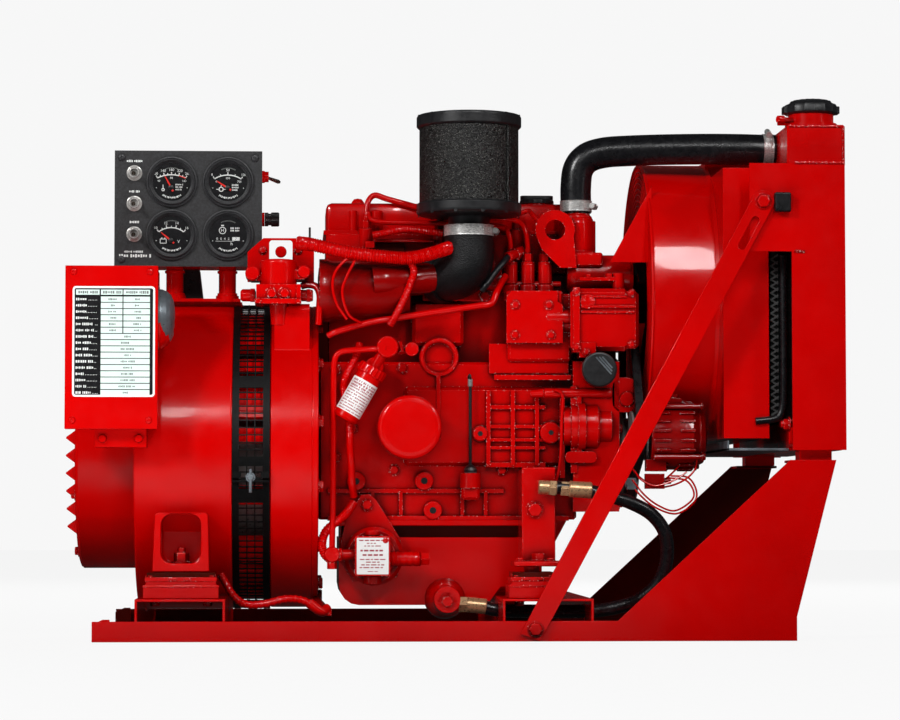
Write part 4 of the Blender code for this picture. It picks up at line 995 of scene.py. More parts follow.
def make_engine_top():
    cover = [block((-155, -62, 487), (149, 62, 492.5))]
    cover += [rod((-119, -56, 486), (-119, -56, 517), 5),
              rod((-90, -56, 486), (-90, -56, 517), 7.5, rim=1), rod((40, -56, 486), (40, -56, 512), 6)]
    for x in (-112, -2, 100):
        cover += [disc(12, 525, 527.6, "Z", (x, 0), 32),
                  spindle([(8, 527), (8, 533), (5, 537), (0, 538)], "Z", (x, 0), 6)]
    filler = (108.8, -20)
    neck = spindle([(27, 505), (23, 516), (20, 524), (19.5, 529)], "Z", filler, 48)
    piece("rocker_cover_fittings", [*cover, neck], "sheet", bevel=1.0)
    cap = [spindle([(21.3, 529.3), (21.3, 533.4), (19.4, 535.4), (0, 535.6)], "Z", filler, 48, dip=0.6),
           plate(rounded(88.5, -27, 129, -13, 6), "Z", 535, 540)]
    piece("top_cap_body", cap, "plastic", body="top_cap_turn", bevel=0.7, stands_for=("top_filler_cap",))

    manifold = [tube([(-104, -80, 428), (-70, -88, 426), (-30, -90, 428), (20, -88, 430),
                      (60, -86, 430)], 17, 24, 8)]
    manifold += [block((-36, -96, 404), (50, -74, 456)), block((-120, -84, 404), (-96, -66, 450))]
    port = tube([(-26, -112, 431), (-56, -126, 428), (-80, -134, 425.5), (-97, -135, 424)], 18.5, 32, 8)
    # The intake port is in the darker red: painted shade.
    piece("intake_port", [port], "painted_shade_red", bevel=3)
    manifold += [block((-95, -92, 475.4), (-20, -78, 479.6)), block((-105, -94, 467.6), (-93, -76, 477))]
    # A near-black block above the intake manifold: painted shadow.
    piece("manifold_painted_shadow", [block((-96, -79, 458), (-57, -75.2, 475))], "shadow", bevel=0.3)
    bolts = []
    for x, z in ((-12.6, 411), (-30, 450), (44, 450), (40, 410), (-108, 444), (-108, 410)):
        bolts += hex_bolt((x, -96 if x > -50 else -84, z), FRONT, 11, 5)
    piece("intake_manifold", manifold, "cast", bevel=3)
    piece("intake_bolts", bolts, "cast", bevel=0.4)

    bodies, lines = [], []
    for number, (x, from_x) in enumerate(((-104, 71), (-14, 92), (80, 113))):
        bodies += [rod((x, -70, 462), (x, -74, 494), 8.5, rim=1),
                   hexagon((x, -74, 492), (x, -75, 503), 6.2), rod((x, -75, 498), (x, -76, 508), 3.6)]
        bodies += [rod((from_x, -92, 460), (from_x, -92, 468), 4.2)]
        rise = 500 + 7 * number
        lines.append(tube([(from_x, -92, 462), (from_x, -93, 474), (from_x - 3, -92, 488 + 3 * number),
                           (from_x - 14, -86, rise - 4), ((x + from_x) / 2, -80, rise),
                           (x + 14, -76, rise + 2), (x + 3, -76, 512), (x, -76, 504)], 3.0, 12, 8))
    returns = tube([(-102.9, -66, 500), (-102.9, -64, 515), (-100.3, -62, 528.4), (-92.3, -60, 535.7),
                    (-76.5, -60, 531), (-38.1, -60, 520.5), (-18, -66, 512), (-10, -72, 500)], 3.6, 14,
                   8)
    piece("injectors", bodies, "cast", bevel=0.5)
    piece("injection_lines", [*lines, returns], "sheet", bevel=0)

    loom = [corrugated([(-186, -138, 470), (-167, -150, 466.4), (-124.4, -152, 457.4),
                        (-81.8, -152, 452.4), (-53.5, -152, 451.4), (-28, -148, 457), (-8, -140, 464),
                        (6, -110, 470)], 7.8, 2.6, 40)]
    loom.append(corrugated([(-96, -100, 483), (-80, -101, 486), (-62, -102, 490), (-45, -102, 490),
                            (-30, -102, 488), (-12, -100, 486)], 4.4))
    loom.append(corrugated([(-60, -148, 455), (-53.3, -147, 449.8), (-48.1, -145, 435.6),
                            (-52, -145, 422.6), (-58.4, -145, 405.9), (-68.8, -145, 385.2),
                            (-76, -140, 372)], 4.4))
    loom.append(corrugated([(-112, -135, 350), (-116.7, -140, 334.5), (-129, -143, 309.8),
                            (-131.5, -143, 297.5), (-129, -141, 278), (-124.9, -140, 259.1),
                            (-123.5, -140, 235)], 4.6))
    loom.append(corrugated([(-119.4, -128, 160), (-128, -140, 148), (-134.6, -145, 141.8),
                            (-151, -147, 128.1), (-156.5, -148, 114.4), (-154.5, -148, 101),
                            (-146, -146, 92)], 5.2))
    wires = [tube([(-118, -148, 460), (-121.8, -150, 455.8), (-140, -155, 437.3), (-145.1, -155, 418),
                   (-140, -155, 396.1), (-128, -150, 378)], 1.7, 10, 8),
             tube([(-116, -150, 458), (-119.3, -152, 446.8), (-128.4, -155, 428.3), (-133.5, -155, 409),
                   (-125.7, -150, 383.6), (-110, -140, 374)], 1.7, 10, 8),
             tube([(-124, -140, 238), (-123.5, -142, 222), (-122.2, -141, 204.3), (-121.5, -140, 183.8),
                   (-119, -132, 168)], 4.6, 12, 8)]
    piece("wiring_loom", loom, "sheet", bevel=0)
    piece("wiring", wires, "sheet", bevel=0)

    lines = [tube([(-150, -126, 360), (-137, -130, 365.4), (-99.4, -130, 375.8), (-68.3, -131, 381),
                   (-10, -132, 390), (30, -131, 396), (43.5, -130, 398), (49, -127, 404),
                   (52, -124, 412), (58, -116, 424), (64, -108, 434)], 4.0, 14, 8),
             tube([(-80, -168, 343), (-95, -158, 342.4), (-124, -152, 341), (-137, -150, 338),
                   (-142.5, -150, 328), (-143.5, -150, 300), (-143.8, -150, 240), (-144.2, -150, 160),
                   (-144.9, -150, 112), (-144.9, -150, 99.5)], 3.6, 14, 8)]
    lines.append(tube([(121, -131, 296), (130.5, -130, 289.3), (130, -130, 262), (128.3, -130, 215.3),
                       (123.9, -130, 190.7), (116, -128, 178)], 1.8, 10, 8))
    piece("fuel_lines", lines, "sheet", bevel=0)
    piece("breather_hose",
          [tube([(66, -112, 456), (60.3, -120, 448.5), (50, -126, 436), (40.3, -130, 422.1),
                 (34, -128, 414)], 3.9, 16, 8)], "rubber", bevel=0)
    stub = [rod((86, -84, 466), (66, -112, 456), 6.2, rim=0.8),
            hexagon((84, -86, 465), (76, -97, 461), 8.4)]
    thermostat = [hexagon((151.9, -92, 508), (151.9, -92, 519), 4.2),
                  rod((151.9, -92, 517), (151.9, -92, 524), 2.4)]
    thermostat += [spindle([(23.5, 446), (25, 452), (23.5, 462), (21.6, 466), (21.6, 500), (19, 509)],
                           "Z", (152, -79), 48)]
    piece("top_fittings", [*stub, *thermostat], "cast", bevel=0.6)


def make_intake():
    x, y = 19, -122
    body = disc(59.6, 508, 622, "Z", (x, y), 96)
    seam = block((x + 43.2, y - 42.6, 519), (x + 45.2, y - 40.4, 611))
    rims = [spindle([(25, 492.4), (25, 503), (40, 505), (59.5, 505), (62.4, 506.6), (63, 509),
                     (63, 517.5), (61.6, 519.4), (58, 520)], "Z", (x, y), 96),
            spindle([(60, 609.6), (61.4, 610.2), (63, 612), (63, 622.6), (61.8, 625), (59.5, 625.4)],
                    "Z", (x, y), 96)]
    for angle in range(0, 360, 30):
        for z in (505.2, 623.4):
            tab = block((62.2, -2.2, z - 0.8), (63.0, 2.2, z + 1.6))
            rims.append(spun(tab, (x, y, 0), math.radians(angle + 12), "Z"))
    piece("air_cleaner_shell", [body, seam], "crinkle", bevel=0.3, stands_for=("air_cleaner",))
    piece("air_cleaner_rims", rims, "plastic", bevel=0.3)
    route = [(x, y, 492), (x, y, 470), (x, y, 452), (x - 4, y + 2, 441), (x - 13, y + 9, 435),
             (x - 24, y + 18, 433.4), (x - 38, y + 30, 433)]
    cuff = aimed(spindle([(30.6, -9), (32, -7.6), (32, 7), (30.6, 8.4)], "Z", (0, 0), 56),
                 (x - 32, y + 25, 433), (-0.72, 0.7, 0))
    piece("intake_elbow_hose", [tube(route, 29.4, 48, 10), cuff], "elbow", bevel=0.8,
          stands_for=("intake_elbow",))
    hose_clamp("intake_clamp", (x, y, 486.5), UP, 29.8, 13, (1, -0.15, 0))


def hose_clamp(name, at, along, radius, wide, screw_at):
    """A worm-drive clamp: a band with a rolled edge, its housing and its slotted screw."""
    half = wide / 2
    band = turned([(radius - 0.3, -half), (radius + 0.9, -half), (radius + 0.4, -half + 1),
                   (radius + 0.4, half - 1), (radius + 0.9, half), (radius - 0.3, half)], "Z", (0, 0),
                  64)
    out = Vector(screw_at).normalized()
    axis = Vector(along).normalized()
    tangent = axis.cross(out)
    base = Vector(at) + out * (radius + 2.6)
    shapes = [aimed(band, at, axis)]
    housing = rod(base - tangent * 7, base + tangent * 5, 3.6, rim=0.5, steps=16)
    screw = hexagon(base + tangent * 4, base + tangent * 9.5, 4.2)
    slots = []
    for step in range(-9, 10):
        if abs(step) < 3:
            continue
        turn = Matrix.Rotation(math.radians(step * 7), 3, axis)
        spot = Vector(at) + (turn @ out) * (radius + 0.55)
        slots.append(rod(spot - axis * half * 0.55, spot + axis * half * 0.55, 0.55, steps=8))
    piece(name, [*shapes, housing, screw, *slots], "stainless", bevel=0.25)


# ---------------------------------------------------------------- fuel side of the engine


def make_fuel_side():
    shapes, bolts = [], []
    shapes.append(plate([(64, 352), (132, 352), (132, 398), (126, 402), (126, 415), (70, 415),
                         (64, 408)], "Y", -124.5, -112))
    for x, z in ((74.6, 397.8), (114.7, 397.8), (73.8, 361.6), (117.1, 361.6)):
        bolts += hex_bolt((x, -124.5, z), FRONT, 8.6, 3.6)
    shapes.append(rod((112, -116, 383.6), (150, -116, 383.6), 9.6, rim=0.8))
    shapes.append(block((142.5, -144, 340), (150.5, -92, 418)))
    shapes += [block((152, -142.4, 393.4), (218, -138, 396.4)),
               block((152, -142.4, 387), (216, -138, 390)),
               block((152, -142.2, 405.6), (207, -138, 408))]
    shapes += [block((150, -141.5, 334), (170, -104, 352)), disc(9, -142, -120, "Y", (160, 401), 32)]
    for x, z in ((146.4, 412), (146.4, 346), (158, 340), (213, 411), (213, 350)):
        bolts += hex_bolt((x, -144 if x < 150 else -141.5, z), FRONT, 7, 3)
    for x in (71, 92, 113):
        shapes += [rod((x, -92, 414), (x, -92, 424), 11, rim=1),
                   rod((x, -92, 424), (x, -92, 450), 8.9, rim=1.5),
                   hexagon((x, -92, 452), (x, -92, 462), 7.2)]
    shapes.append(rod((52, -92, 425), (132, -92, 425), 4, steps=12))
    piece("pump_castings", shapes, "cast", bevel=1.2)
    piece("pump_bolts", bolts, "cast", bevel=0.4)
    knobs = hex_bolt((187.8, -124.5, 431), UP, 9, 5) + hex_bolt((163, -124.5, 431), UP, 7, 4)
    piece("speed_lever_bolts", knobs, "cast", body="speed_arm", bevel=0.4)
    housing = spindle([(20, 140), (23.5, 145), (25, 150), (25, 216), (23.5, 220)], "X", (-77, 437), 56)
    piece("water_outlet_housing", [housing, block((146, -112, 404), (176, -70, 418))], "cast", bevel=0.8)

    filler = (172.7, 319)
    neck = spindle([(22, -100), (20, -122), (18.6, -126), (18.6, -139.5)], "Y", filler, 48)
    piece("side_filler_neck", [neck], "cast", bevel=0.6)
    cap = [disc(17.4, -138.4, -149.6, "Y", filler, 60, dip=0.7),
           turned([(0, -149.4), (20.8, -149.8), (20.8, -156.4), (20.0, -157.6), (18.6, -158.2),
                   (0, -158.4)], "Y", filler, 64)]
    piece("side_cap_body", cap, "plastic", body="side_cap_turn", bevel=0, stands_for=("side_filler_cap",))
    patch = []
    for offset, half in ((6.5, 13.5), (9.4, 11.5), (12.2, 9)):
        bar = block((-half, -158.9, offset - 0.9), (half, -158.2, offset + 0.9))
        patch.append(spun(bar, (filler[0], 0, filler[1]), math.radians(48), "Y"))
    piece("side_cap_mark", patch, "zinc", body="side_cap_turn", bevel=0.15)


def make_block_details():
    shapes, holes, bolts = [], [], []
    for x in (43, 72.5, 101.6):
        shapes.append(block((x - 2.6, -111, 205), (x + 2.6, -100, 296)))
    for z, high in ((275.5, 2.6), (252.2, 2.2), (236.1, 2.0), (226.6, 2.0), (206, 3)):
        shapes.append(block((40, -109.5, z - high), (112, -100, z + high)))
    shapes += [block((49.7, -113, 308), (143, -98, 314.4)), block((44, -108, 316), (140, -96, 352)),
               rod((93, -120, 291), (109, -122, 291.8), 4, 5.6),
               rod((108.7, -122, 291.8), (190.8, -122, 291.8), 6, rim=1)]
    shapes += [block((128, -124, 286), (134, -100, 190)), block((148, -126, 222), (154, -104, 296))]
    steps = [(132, 26), (141, 26), (141, 29.5), (149.5, 29.5), (149.5, 32), (158.3, 32), (158.3, 29),
             (173.5, 29), (173.5, 27), (175.7, 26), (175.7, 22), (190, 22), (191, 20), (191, 8)]
    shapes.append(turned([(0, 132)] + [(r, x) for x, r in steps] + [(0, 191)], "X", (-110, 252), 56))
    shapes += [plate(rounded(191, 269, 221, 311, 12), "Y", -122, -100),
               rod((209, -120, 285), (209, -125, 285), 9, rim=1)]
    shapes += [block((141, -124, 196), (149, -102, 300)),
               plate(rounded(134, 208, 172, 222, 6), "Y", -128, -100)]
    # A near-black plate and ribs below the gear case: painted shadow in the recess.
    dark = [block((154, -107, 160), (198, -103.4, 216))]
    dark += [block((154, -109, z), (197, -106, z + 3)) for z in range(166, 212, 9)]
    piece("gear_case_painted_shadow", dark, "shadow", bevel=0.6)
    shapes.append(spindle([(17.6, -96), (17.6, -102.5), (19.5, -105), (22.4, -105), (23.9, -102.5),
                           (23.9, -64)], "Y", (-15.9, 335.6), 48))
    shapes += [block((-19.4, -106, 236), (-14.4, -98, 314)), block((-150, -104, 172), (62, -98, 177.5)),
               block((-150, -108, 139), (140, -98, 145))]
    for x in (-96, -62, 12, 40):
        shapes.append(block((x - 2.4, -105, 145), (x + 2.4, -98, 174)))
    for x, z in ((-115.7, 186.2), (-34, 186.8), (-23.6, 151.4)):
        shapes.append(spindle([(12.5, -98), (11.2, -109), (10, -110.2)], "Y", (x, z), 32))
        holes.append(disc(3.9, -110.5, -108, "Y", (x, z), 24))
    for x, z, r in ((33, 243.4, 9), (118.2, 244.8, 13)):
        shapes.append(spindle([(r + 2, -104), (r, -113), (r - 1.2, -114.2)], "Y", (x, z), 32))
        holes.append(disc(3.2, -114.6, -112, "Y", (x, z), 6))
    for x, z in ((-140, 320), (-60, 322), (60, 200), (128, 200), (-140, 215), (-120, 250), (-70, 200)):
        bolts += hex_bolt((x, -100, z), FRONT, 10, 5)
    for z in (160, 200, 250, 300, 345, 385):
        for side in (-1, 1):
            if side < 0 and z > 330:
                continue
            bolts += hex_bolt((200, side * 113 if z < 340 else side * 84, z), RIGHT, 10, 4.5)
    piece("block_castings", shapes, "cast", bevel=1.4)
    piece("pan_neck_shadow", [block((-133, -89.4, 118), (105, -87, 136))], "shadow", bevel=0.3)
    piece("block_bolts", bolts, "cast", bevel=0.4)
    piece("block_holes", holes, "plastic", bevel=0)
    filter_can = spindle([(31, -100.4), (31, -114), (30, -116.6), (36.6, -121), (37.9, -124),
                          (37.9, -183), (36.9, -187), (34, -189.3), (30, -190)], "Y", (-54.3, 249), 80)
    piece("oil_filter_can", [filter_can], "sheet", bevel=0, stands_for=("oil_filter",))

    stick = [rod((21, -114, 205), (21, -114, 306), 1.9, steps=12)]
    stick += [tube([(21, -114, 300), (21, -115, 307), (21, -117, 311), (20, -116, 314), (19, -114, 311),
                    (20, -113, 306)], 1.3, 8, 6)]
    seat = spindle([(7.2, 196.3), (8, 199), (6.6, 203), (3.2, 206), (0, 206.5)], "Z", (21, -114), 32)
    piece("dipstick_grommet", [*stick, seat], "plastic", body="dipstick_rod", bevel=0)


def make_filters():
    base, tip = Vector((-131, -150, 259)), Vector((-93, -150, 325))
    along = (tip - base).normalized()
    can = aimed(spindle([(13.5, 0), (15.5, 2.5), (15.5, 60)], "Z", (0, 0), 56), base, along)
    collar = aimed(spindle([(15.6, 0), (17.6, 1.5), (17.6, 11), (16.4, 12.6)], "Z", (0, 0), 40,
                           dip=1.0), base + (tip - base) * 0.78, along)
    arm = rod((-95, -155, 322), (-95, -100.3, 322), 11, rim=1)
    neck = rod((-100, -150, 312), (-84, -152, 340), 7, steps=24)
    knobs = [spindle([(10, -140), (10, -158), (13, -160), (13, -168), (11.6, -170)], "Y",
                     (-80, 344.4), 48),
             spindle([(6.6, -130), (6.6, -150), (8.3, -152), (8.3, -159), (7.4, -160)], "Y",
                     (-51, 342.3), 40),
             rod((-80, -150, 344), (-51, -146, 342.3), 5),
             hexagon((-66, -150, 350), (-63, -156, 338), 4.4)]
    piece("fuel_filter_can", [can, collar, arm, neck], "sheet", bevel=0.4, stands_for=("fuel_filter",))
    piece("fuel_filter_fittings", knobs, "cast", bevel=0.7)
    ink = []
    side = along.cross(Vector(FRONT)).normalized()
    out = side.cross(along).normalized()
    if out.y > 0:
        out = -out
    angles = range(-82, 83, 6)
    wrap = plate(around(15.9, angles) + around(15.3, reversed(angles)), "Z", 9, 52)
    turn = Matrix((-side, out, along)).transposed().to_4x4()
    place = Matrix.Translation(base) @ turn
    bmesh.ops.transform(wrap, matrix=place, verts=wrap.verts)
    bmesh.ops.recalc_face_normals(wrap, faces=wrap.faces)
    for row in range(12):
        low = 49.4 - 3.4 * row
        angle = -70 + random.uniform(0, 16)
        while angle < 62:
            wide = random.uniform(3, 7)
            outline = around(15.9, (angle, angle + wide)) + around(16.05, (angle + wide, angle))
            mark = plate(outline, "Z", low - (2.3 if row < 3 else 1.5), low)
            bmesh.ops.transform(mark, matrix=place, verts=mark.verts)
            ink.append(mark)
            angle += wide + random.choice((2.4, 2.4, 2.4, 7))
    piece("fuel_filter_label", [wrap], "label", bevel=0)
    piece("fuel_filter_label_lines", ink, "ink_red", bevel=0)


def make_lift_pump():
    lug = plate([(-138, 96), (-128, 140), (-110, 170), (-100, 171), (-92, 164), (-62, 116), (-66, 72),
                 (-120, 66)], "Y", -116, -110.3)
    body = [block((-118, -164, 74), (-76.5, -134, 121)),
            spindle([(34, -114), (35, -118), (35, -126), (31, -134)], "Y", (-95, 97), 56),
            spindle([(27, -134), (25, -142)], "Y", (-95, 97), 56),
            rod((-97, -146, 121), (-97, -146, 128), 9, rim=1),
            rod((-97, -140, 74), (-97, -140, 64), 11, rim=1)]
    barb = tube([(-77, -140, 94), (-70, -140, 94), (-44, -140, 94), (-40, -140, 94)], 8.6, 24, 20,
                lambda t: 1 + 0.06 * math.sin(t * 70))
    nut = hexagon((-41, -140, 94), (-29.5, -140, 94), 8.2)
    inlet = [rod((-118, -144, 99), (-136, -147, 99), 6.4),
             hexagon((-134, -147, 99), (-141, -148, 99), 8.6),
             spindle([(9.6, -140), (9.6, -155), (8, -157)], "Y", (-145, 99), 32),
             hexagon((-145, -150, 82), (-145, -150, 99), 6)]
    bolts = hex_bolt((-103, -116, 158), FRONT, 11, 6) + hex_bolt((-82, -164.2, 116), FRONT, 5, 2)
    piece("lift_pump_body", [lug, *body, *inlet, nut], "cast", bevel=1.2, stands_for=("lift_pump",))
    piece("lift_pump_barb", [barb], "sheet", bevel=0)
    piece("lift_pump_bolts", bolts, "cast", bevel=0.4)
    label = plate(rounded(-116, 76, -78.5, 119, 0.8, 2), "Y", -164.7, -164)
    ink = []
    for long, high, y in ((32, 1.8, 116), (14, 1.4, 112.6), (20, 1.4, 109.4), (29, 2.6, 104),
                          (24, 2.6, 98.8), (30, 1.6, 93.6), (16, 1.6, 90.4), (27, 1.6, 87.2),
                          (31, 1.6, 84), (12, 1.0, 79.4)):
        cursor = -97.2 - long / 2
        while cursor < -97.2 + long / 2 - 2:
            word = random.uniform(2.2, 7)
            word = min(word, -97.2 + long / 2 - cursor)
            ink.append(bar_at(cursor + word / 2, y, word, high * 0.8, -164.72))
            cursor += word + 1.5
    piece("lift_pump_label", [label], "label", bevel=0)
    piece("lift_pump_label_lines", ink, "ink_red", bevel=0)


def make_lower_details():
    boss = spindle([(25, -96), (24, -101), (22.6, -105), (19.5, -112), (17, -120), (15.6, -128),
                    (15.6, -160)], "Y", (-9, 46), 56)
    plug = [spindle([(14.5, -158), (14.5, -164), (13, -166)], "Y", (-9, 44), 6),
            disc(6.5, -165, -169, "Y", (-9, 44), 6)]
    piece("drain_boss", [boss, *plug], "cast", bevel=1.0)
    low_brass = [hexagon((5, -150, 40.2), (15, -150, 40), 10.2),
                 rod((14, -150, 40), (38, -150, 37.6), 9.0, rim=1, steps=40)]
    start = Vector((98, -200, 178.4))
    along = Vector((1, 0, -0.06)).normalized()

    def at(long):
        return start + along * long

    top_brass = [rod(at(-2), at(11), 8.2, rim=0.8, steps=40), hexagon(at(10.5), at(19.5), 9.6, rim=1),
                 hexagon(at(24), at(34), 9.4, rim=0.8), rod(at(33.5), at(61), 9.5, rim=1.2, steps=40),
                 rod(at(35), at(36.5), 10.0, steps=40), rod(at(57), at(58.5), 10.0, steps=40)]
    piece("hose_ferrules", [*low_brass, *top_brass], "brass", bevel=0.3)
    piece("hose_swivel", [rod(at(18), at(26), 6.8, steps=24)], "steel", bevel=0.3)
    drain = [(14, -150, 40), (32, -150, 38), (55, -150, 33), (105, -150, 32), (157, -152, 32),
             (190, -158, 36), (218, -166, 46), (240, -174, 66), (249, -182, 94), (246, -190, 124),
             (230, -196, 146), (205, -200, 160), (180, -200, 168), (150, -200, 175), (118, -200, 178)]
    piece("drain_hose_line", [tube(drain, 8, 28, 8)], "hose", bevel=0, stands_for=("drain_hose",))

    upper = [(152, -79, 513), (152, -79, 522), (152, -79, 546), (155, -79, 567), (166, -80, 580.5),
             (186, -82, 587), (216, -86, 589), (260, -92, 590), (310, -100, 590), (350, -107, 589),
             (376, -110, 588), (391.5, -110, 588)]
    piece("upper_hose_line", [tube(upper, 18.7, 48, 10)], "hose", bevel=0, stands_for=("upper_hose",))
    hose_clamp("upper_hose_clamp", (152, -79, 521), UP, 18.9, 13, (1, -0.35, 0))
    hose_clamp("radiator_hose_clamp", (382, -110, 588), RIGHT, 18.9, 12, (0, -0.4, 1))

    bracket = [*hex_bolt((92.9, -186, 152), FRONT, 15, 7), disc(9, 92, 101, "Z", (97, -196), 6),
               disc(12, 91, 93.5, "Z", (97, -196), 32)]
    for x in (74, 110):
        bracket += hex_bolt((x, -206, 92), UP, 9, 4)
    piece("engine_foot_bolts", bracket, "cast", bevel=0.6)
    mounts, shadow_strips = [], []
    for left, right in ((-364, -277), (60, 117)):
        for flip in (as_drawn, mirrored):
            middle = (left + right) / 2
            shadow_strips.append(flip(block((left + 4, -219, 74), (right - 4, -160, 79.4))))
            parts = [block((left + 2, -223, 69), (right - 2, -157.4, 74)),
                     block((left - 0.6, -222.6, 62), (right + 0.6, -157.6, 64.6)),
                     block((middle - 14, -224.2, 70), (middle - 5, -220, 73.4)),
                     block((middle + 4, -224.2, 70), (middle + 11, -220, 73.4))]
            for x in (left + 8, right - 8):
                parts += hex_bolt((x, -214, 75), UP, 8, 3.4)
                parts += hex_bolt((x + (5 if x < middle else -5), -205, 45.8), DOWN, 10, 6)
            mounts += [flip(made) for made in parts]
    piece("mount_plates", mounts, "cast", bevel=0.7)
    # Near-black strips between the feet and the mount plates: painted shadow.
    piece("mount_painted_shadow", shadow_strips, "shadow", bevel=0.3)


# ---------------------------------------------------------------- cooling


def make_cooling():
    drum = turned([(168, 234), (170, 234), (171.2, 236), (170, 238), (170, 311), (172, 316),
                   (168, 316)], "X", (0, FAN_Z), 160)
    mesh = [turned([(r, 235), (r + 1.2, 235), (r + 1.2, 236.2), (r, 236.2)], "X", (0, FAN_Z), 96)
            for r in range(112, 169, 7)]
    for angle in spaced(140):
        mesh.append(spun(block((236, -0.6, 112), (237, 0.6, 169)), (0, 0, FAN_Z), angle))
    piece("shroud_drum", [drum], "sheet", bevel=0)
    piece("shroud_top", [block((313, -60, 540), (372, 60, 580))], "sheet", bevel=0.5)
    piece("fan_guard_mesh", mesh, "sheet", bevel=0)
    fins, tubes = [], []
    low, high = 258.4, 557.6
    count = 74
    for step in range(count):
        z = low + (high - low) * (step + 0.5) / count
        fins.append(block((374, -193, z - 0.35), (426, 193, z + 0.35)))
    for step in range(33):
        y = -192 + 12 * step
        tubes.append(block((376.5, y - 1.1, low), (423.5, y + 1.1, high)))
    sides = [block((372, near, low), (428, far, high)) for near, far in ((-196, -193.4), (193.4, 196))]
    for step in range(36):
        z = low + 6 + step * 8.1
        sides.append(plate([(384, z), (427.6, z + 4), (427.6, z + 5.2), (384, z + 1.2)], "Y", -197.4,
                           -195.6))
    piece("radiator_fins", fins, "fin", bevel=0, stands_for=("radiator_core",))
    piece("radiator_tubes", tubes, "powder", bevel=0)
    piece("radiator_core_sides", sides, "powder", bevel=0.2)
    zigzag, seal = [], []
    for flip in (as_drawn, mirrored):
        for step in range(24):
            z = 262 + 8 * step
            zigzag.append(flip(plate([(371, z), (371, z + 2.2), (380, z + 8), (380, z + 5.6)], "Y",
                                     -201.5, -197)))
            zigzag.append(flip(plate([(371, z + 1), (371, z + 3), (380, z - 2.4), (380, z - 4.4)], "Y",
                                     -200, -197)))
        route = [(385.5, -202, 452), (386, -202, 380), (386, -202, 300), (384.5, -202, 274),
                 (380, -202, 262), (370, -202, 258), (352, -202, 256)]
        seal.append(flip(tube(route, 4.4, 16, 8)))
    piece("core_side_fins", zigzag, "fin", bevel=0)
    piece("core_seals", seal, "hose", bevel=0)
    welds = []
    for low, high in (((394, -241, 558), (452, -241, 558)),
                      ((458.6, -200.2, 562), (458.6, -200.2, 604)),
                      ((394, -200.6, 606), (456, -200.6, 606)),
                      ((392.5, -240.4, 453.6), (405, -240.4, 453.2))):
        points = [Vector(low).lerp(Vector(high), share / 4) for share in range(5)]
        beads = [tube(points, 1.5, 10, 20, lambda t: 1 + 0.25 * math.sin(t * 90)
                      + random.uniform(-0.1, 0.1)),
                 mirrored(tube(points, 1.5, 10, 20, lambda t: 1 + 0.25 * math.sin(t * 80)))]
        welds += beads
    welds += hex_bolt((388, -225, 252), LEFT, 12, 7) + [rod((378, -225, 252), (392, -225, 252), 4)]
    filler = (427, -160)
    neck = turned([(18, 606), (25, 606), (24, 612), (23, 614), (23, 617), (24.6, 618), (24.6, 623.6),
                   (18, 623.6)], "Z", filler, 56)
    nipple = [rod((410, -168, 615.5), (390, -176, 616.5), 3.6, steps=20),
              rod((391, -175.6, 616.5), (384, -178.4, 617), 5.2, 4.2, steps=20)]
    piece("radiator_welds", [*welds, neck, *nipple], "cast", bevel=0.4)
    piece("radiator_underplate",
          [block((318, -205, 221.5), (391, 205, 224.5)), block((318, -205, 221.5), (320.5, 205, 233))],
          "zinc", bevel=0.4)
    cap = [spindle([(30, 624.3), (32.2, 626), (32.4, 632.5), (30.8, 636), (26, 638), (24, 640.8),
                    (18, 642)], "Z", filler, 32, dip=1.6), disc(17, 612, 625, "Z", filler, 40)]
    cap += [plate(rounded(427 + s * 28 - 6, -170, 427 + s * 28 + 5.6, -150, 3), "Z", 625.5, 634)
            for s in (-1, 1)]
    piece("radiator_cap_body", cap, "plastic", body="radiator_cap_turn", bevel=0.8,
          stands_for=("radiator_cap",))


def make_braces():
    low, high = Vector((88.8, 0, 14)), Vector((356, 0, 511.6))
    along = (high - low).normalized()
    across = Vector((along.z, 0, -along.x))
    outer = -245.3
    foot = [low - along * 13 - across * 13, low - along * 13 + across * 13]
    outline = [(max(point.x, 70), max(point.z, 0.5)) for point in foot]
    for step in range(13):
        angle = math.pi * step / 12
        point = high + across * 13 * math.cos(angle) + along * 13 * math.sin(angle)
        outline.append((point.x, point.z))
    slot = []
    for centre, turn in ((high - along * 24, 0), (high - along * 58, math.pi)):
        for step in range(9):
            angle = turn + math.pi * step / 8
            point = centre + across * (2.5 + 4.6 * math.cos(angle)) + along * 4.6 * math.sin(angle)
            slot.append((point.x, point.z))
    bars, fixings, bumpers, slots = [], [], [], []
    for flip in (as_drawn, mirrored):
        bars.append(flip(plate(outline, "Y", outer, outer + 5)))
        slots.append(flip(plate(slot, "Y", outer - 4, outer + 9)))
        for at in (low, high):
            fixings += [flip(made) for made in hex_bolt((at.x, outer, at.z), FRONT, 14, 5.4)]
        fixings.append(flip(block((356, outer + 1.5, 506), (371, outer + 4.5, 516))))
        bumpers.append(flip(block((369, -251.2, 499), (388, -240.4, 522))))
    piece("brace_bars", bars, "sheet", bevel=0.5, stands_for=("brace_front", "brace_rear"), cuts=slots)
    piece("brace_fixings", fixings, "cast", bevel=0.5)
    piece("brace_bumpers", bumpers, "rubber", bevel=2)


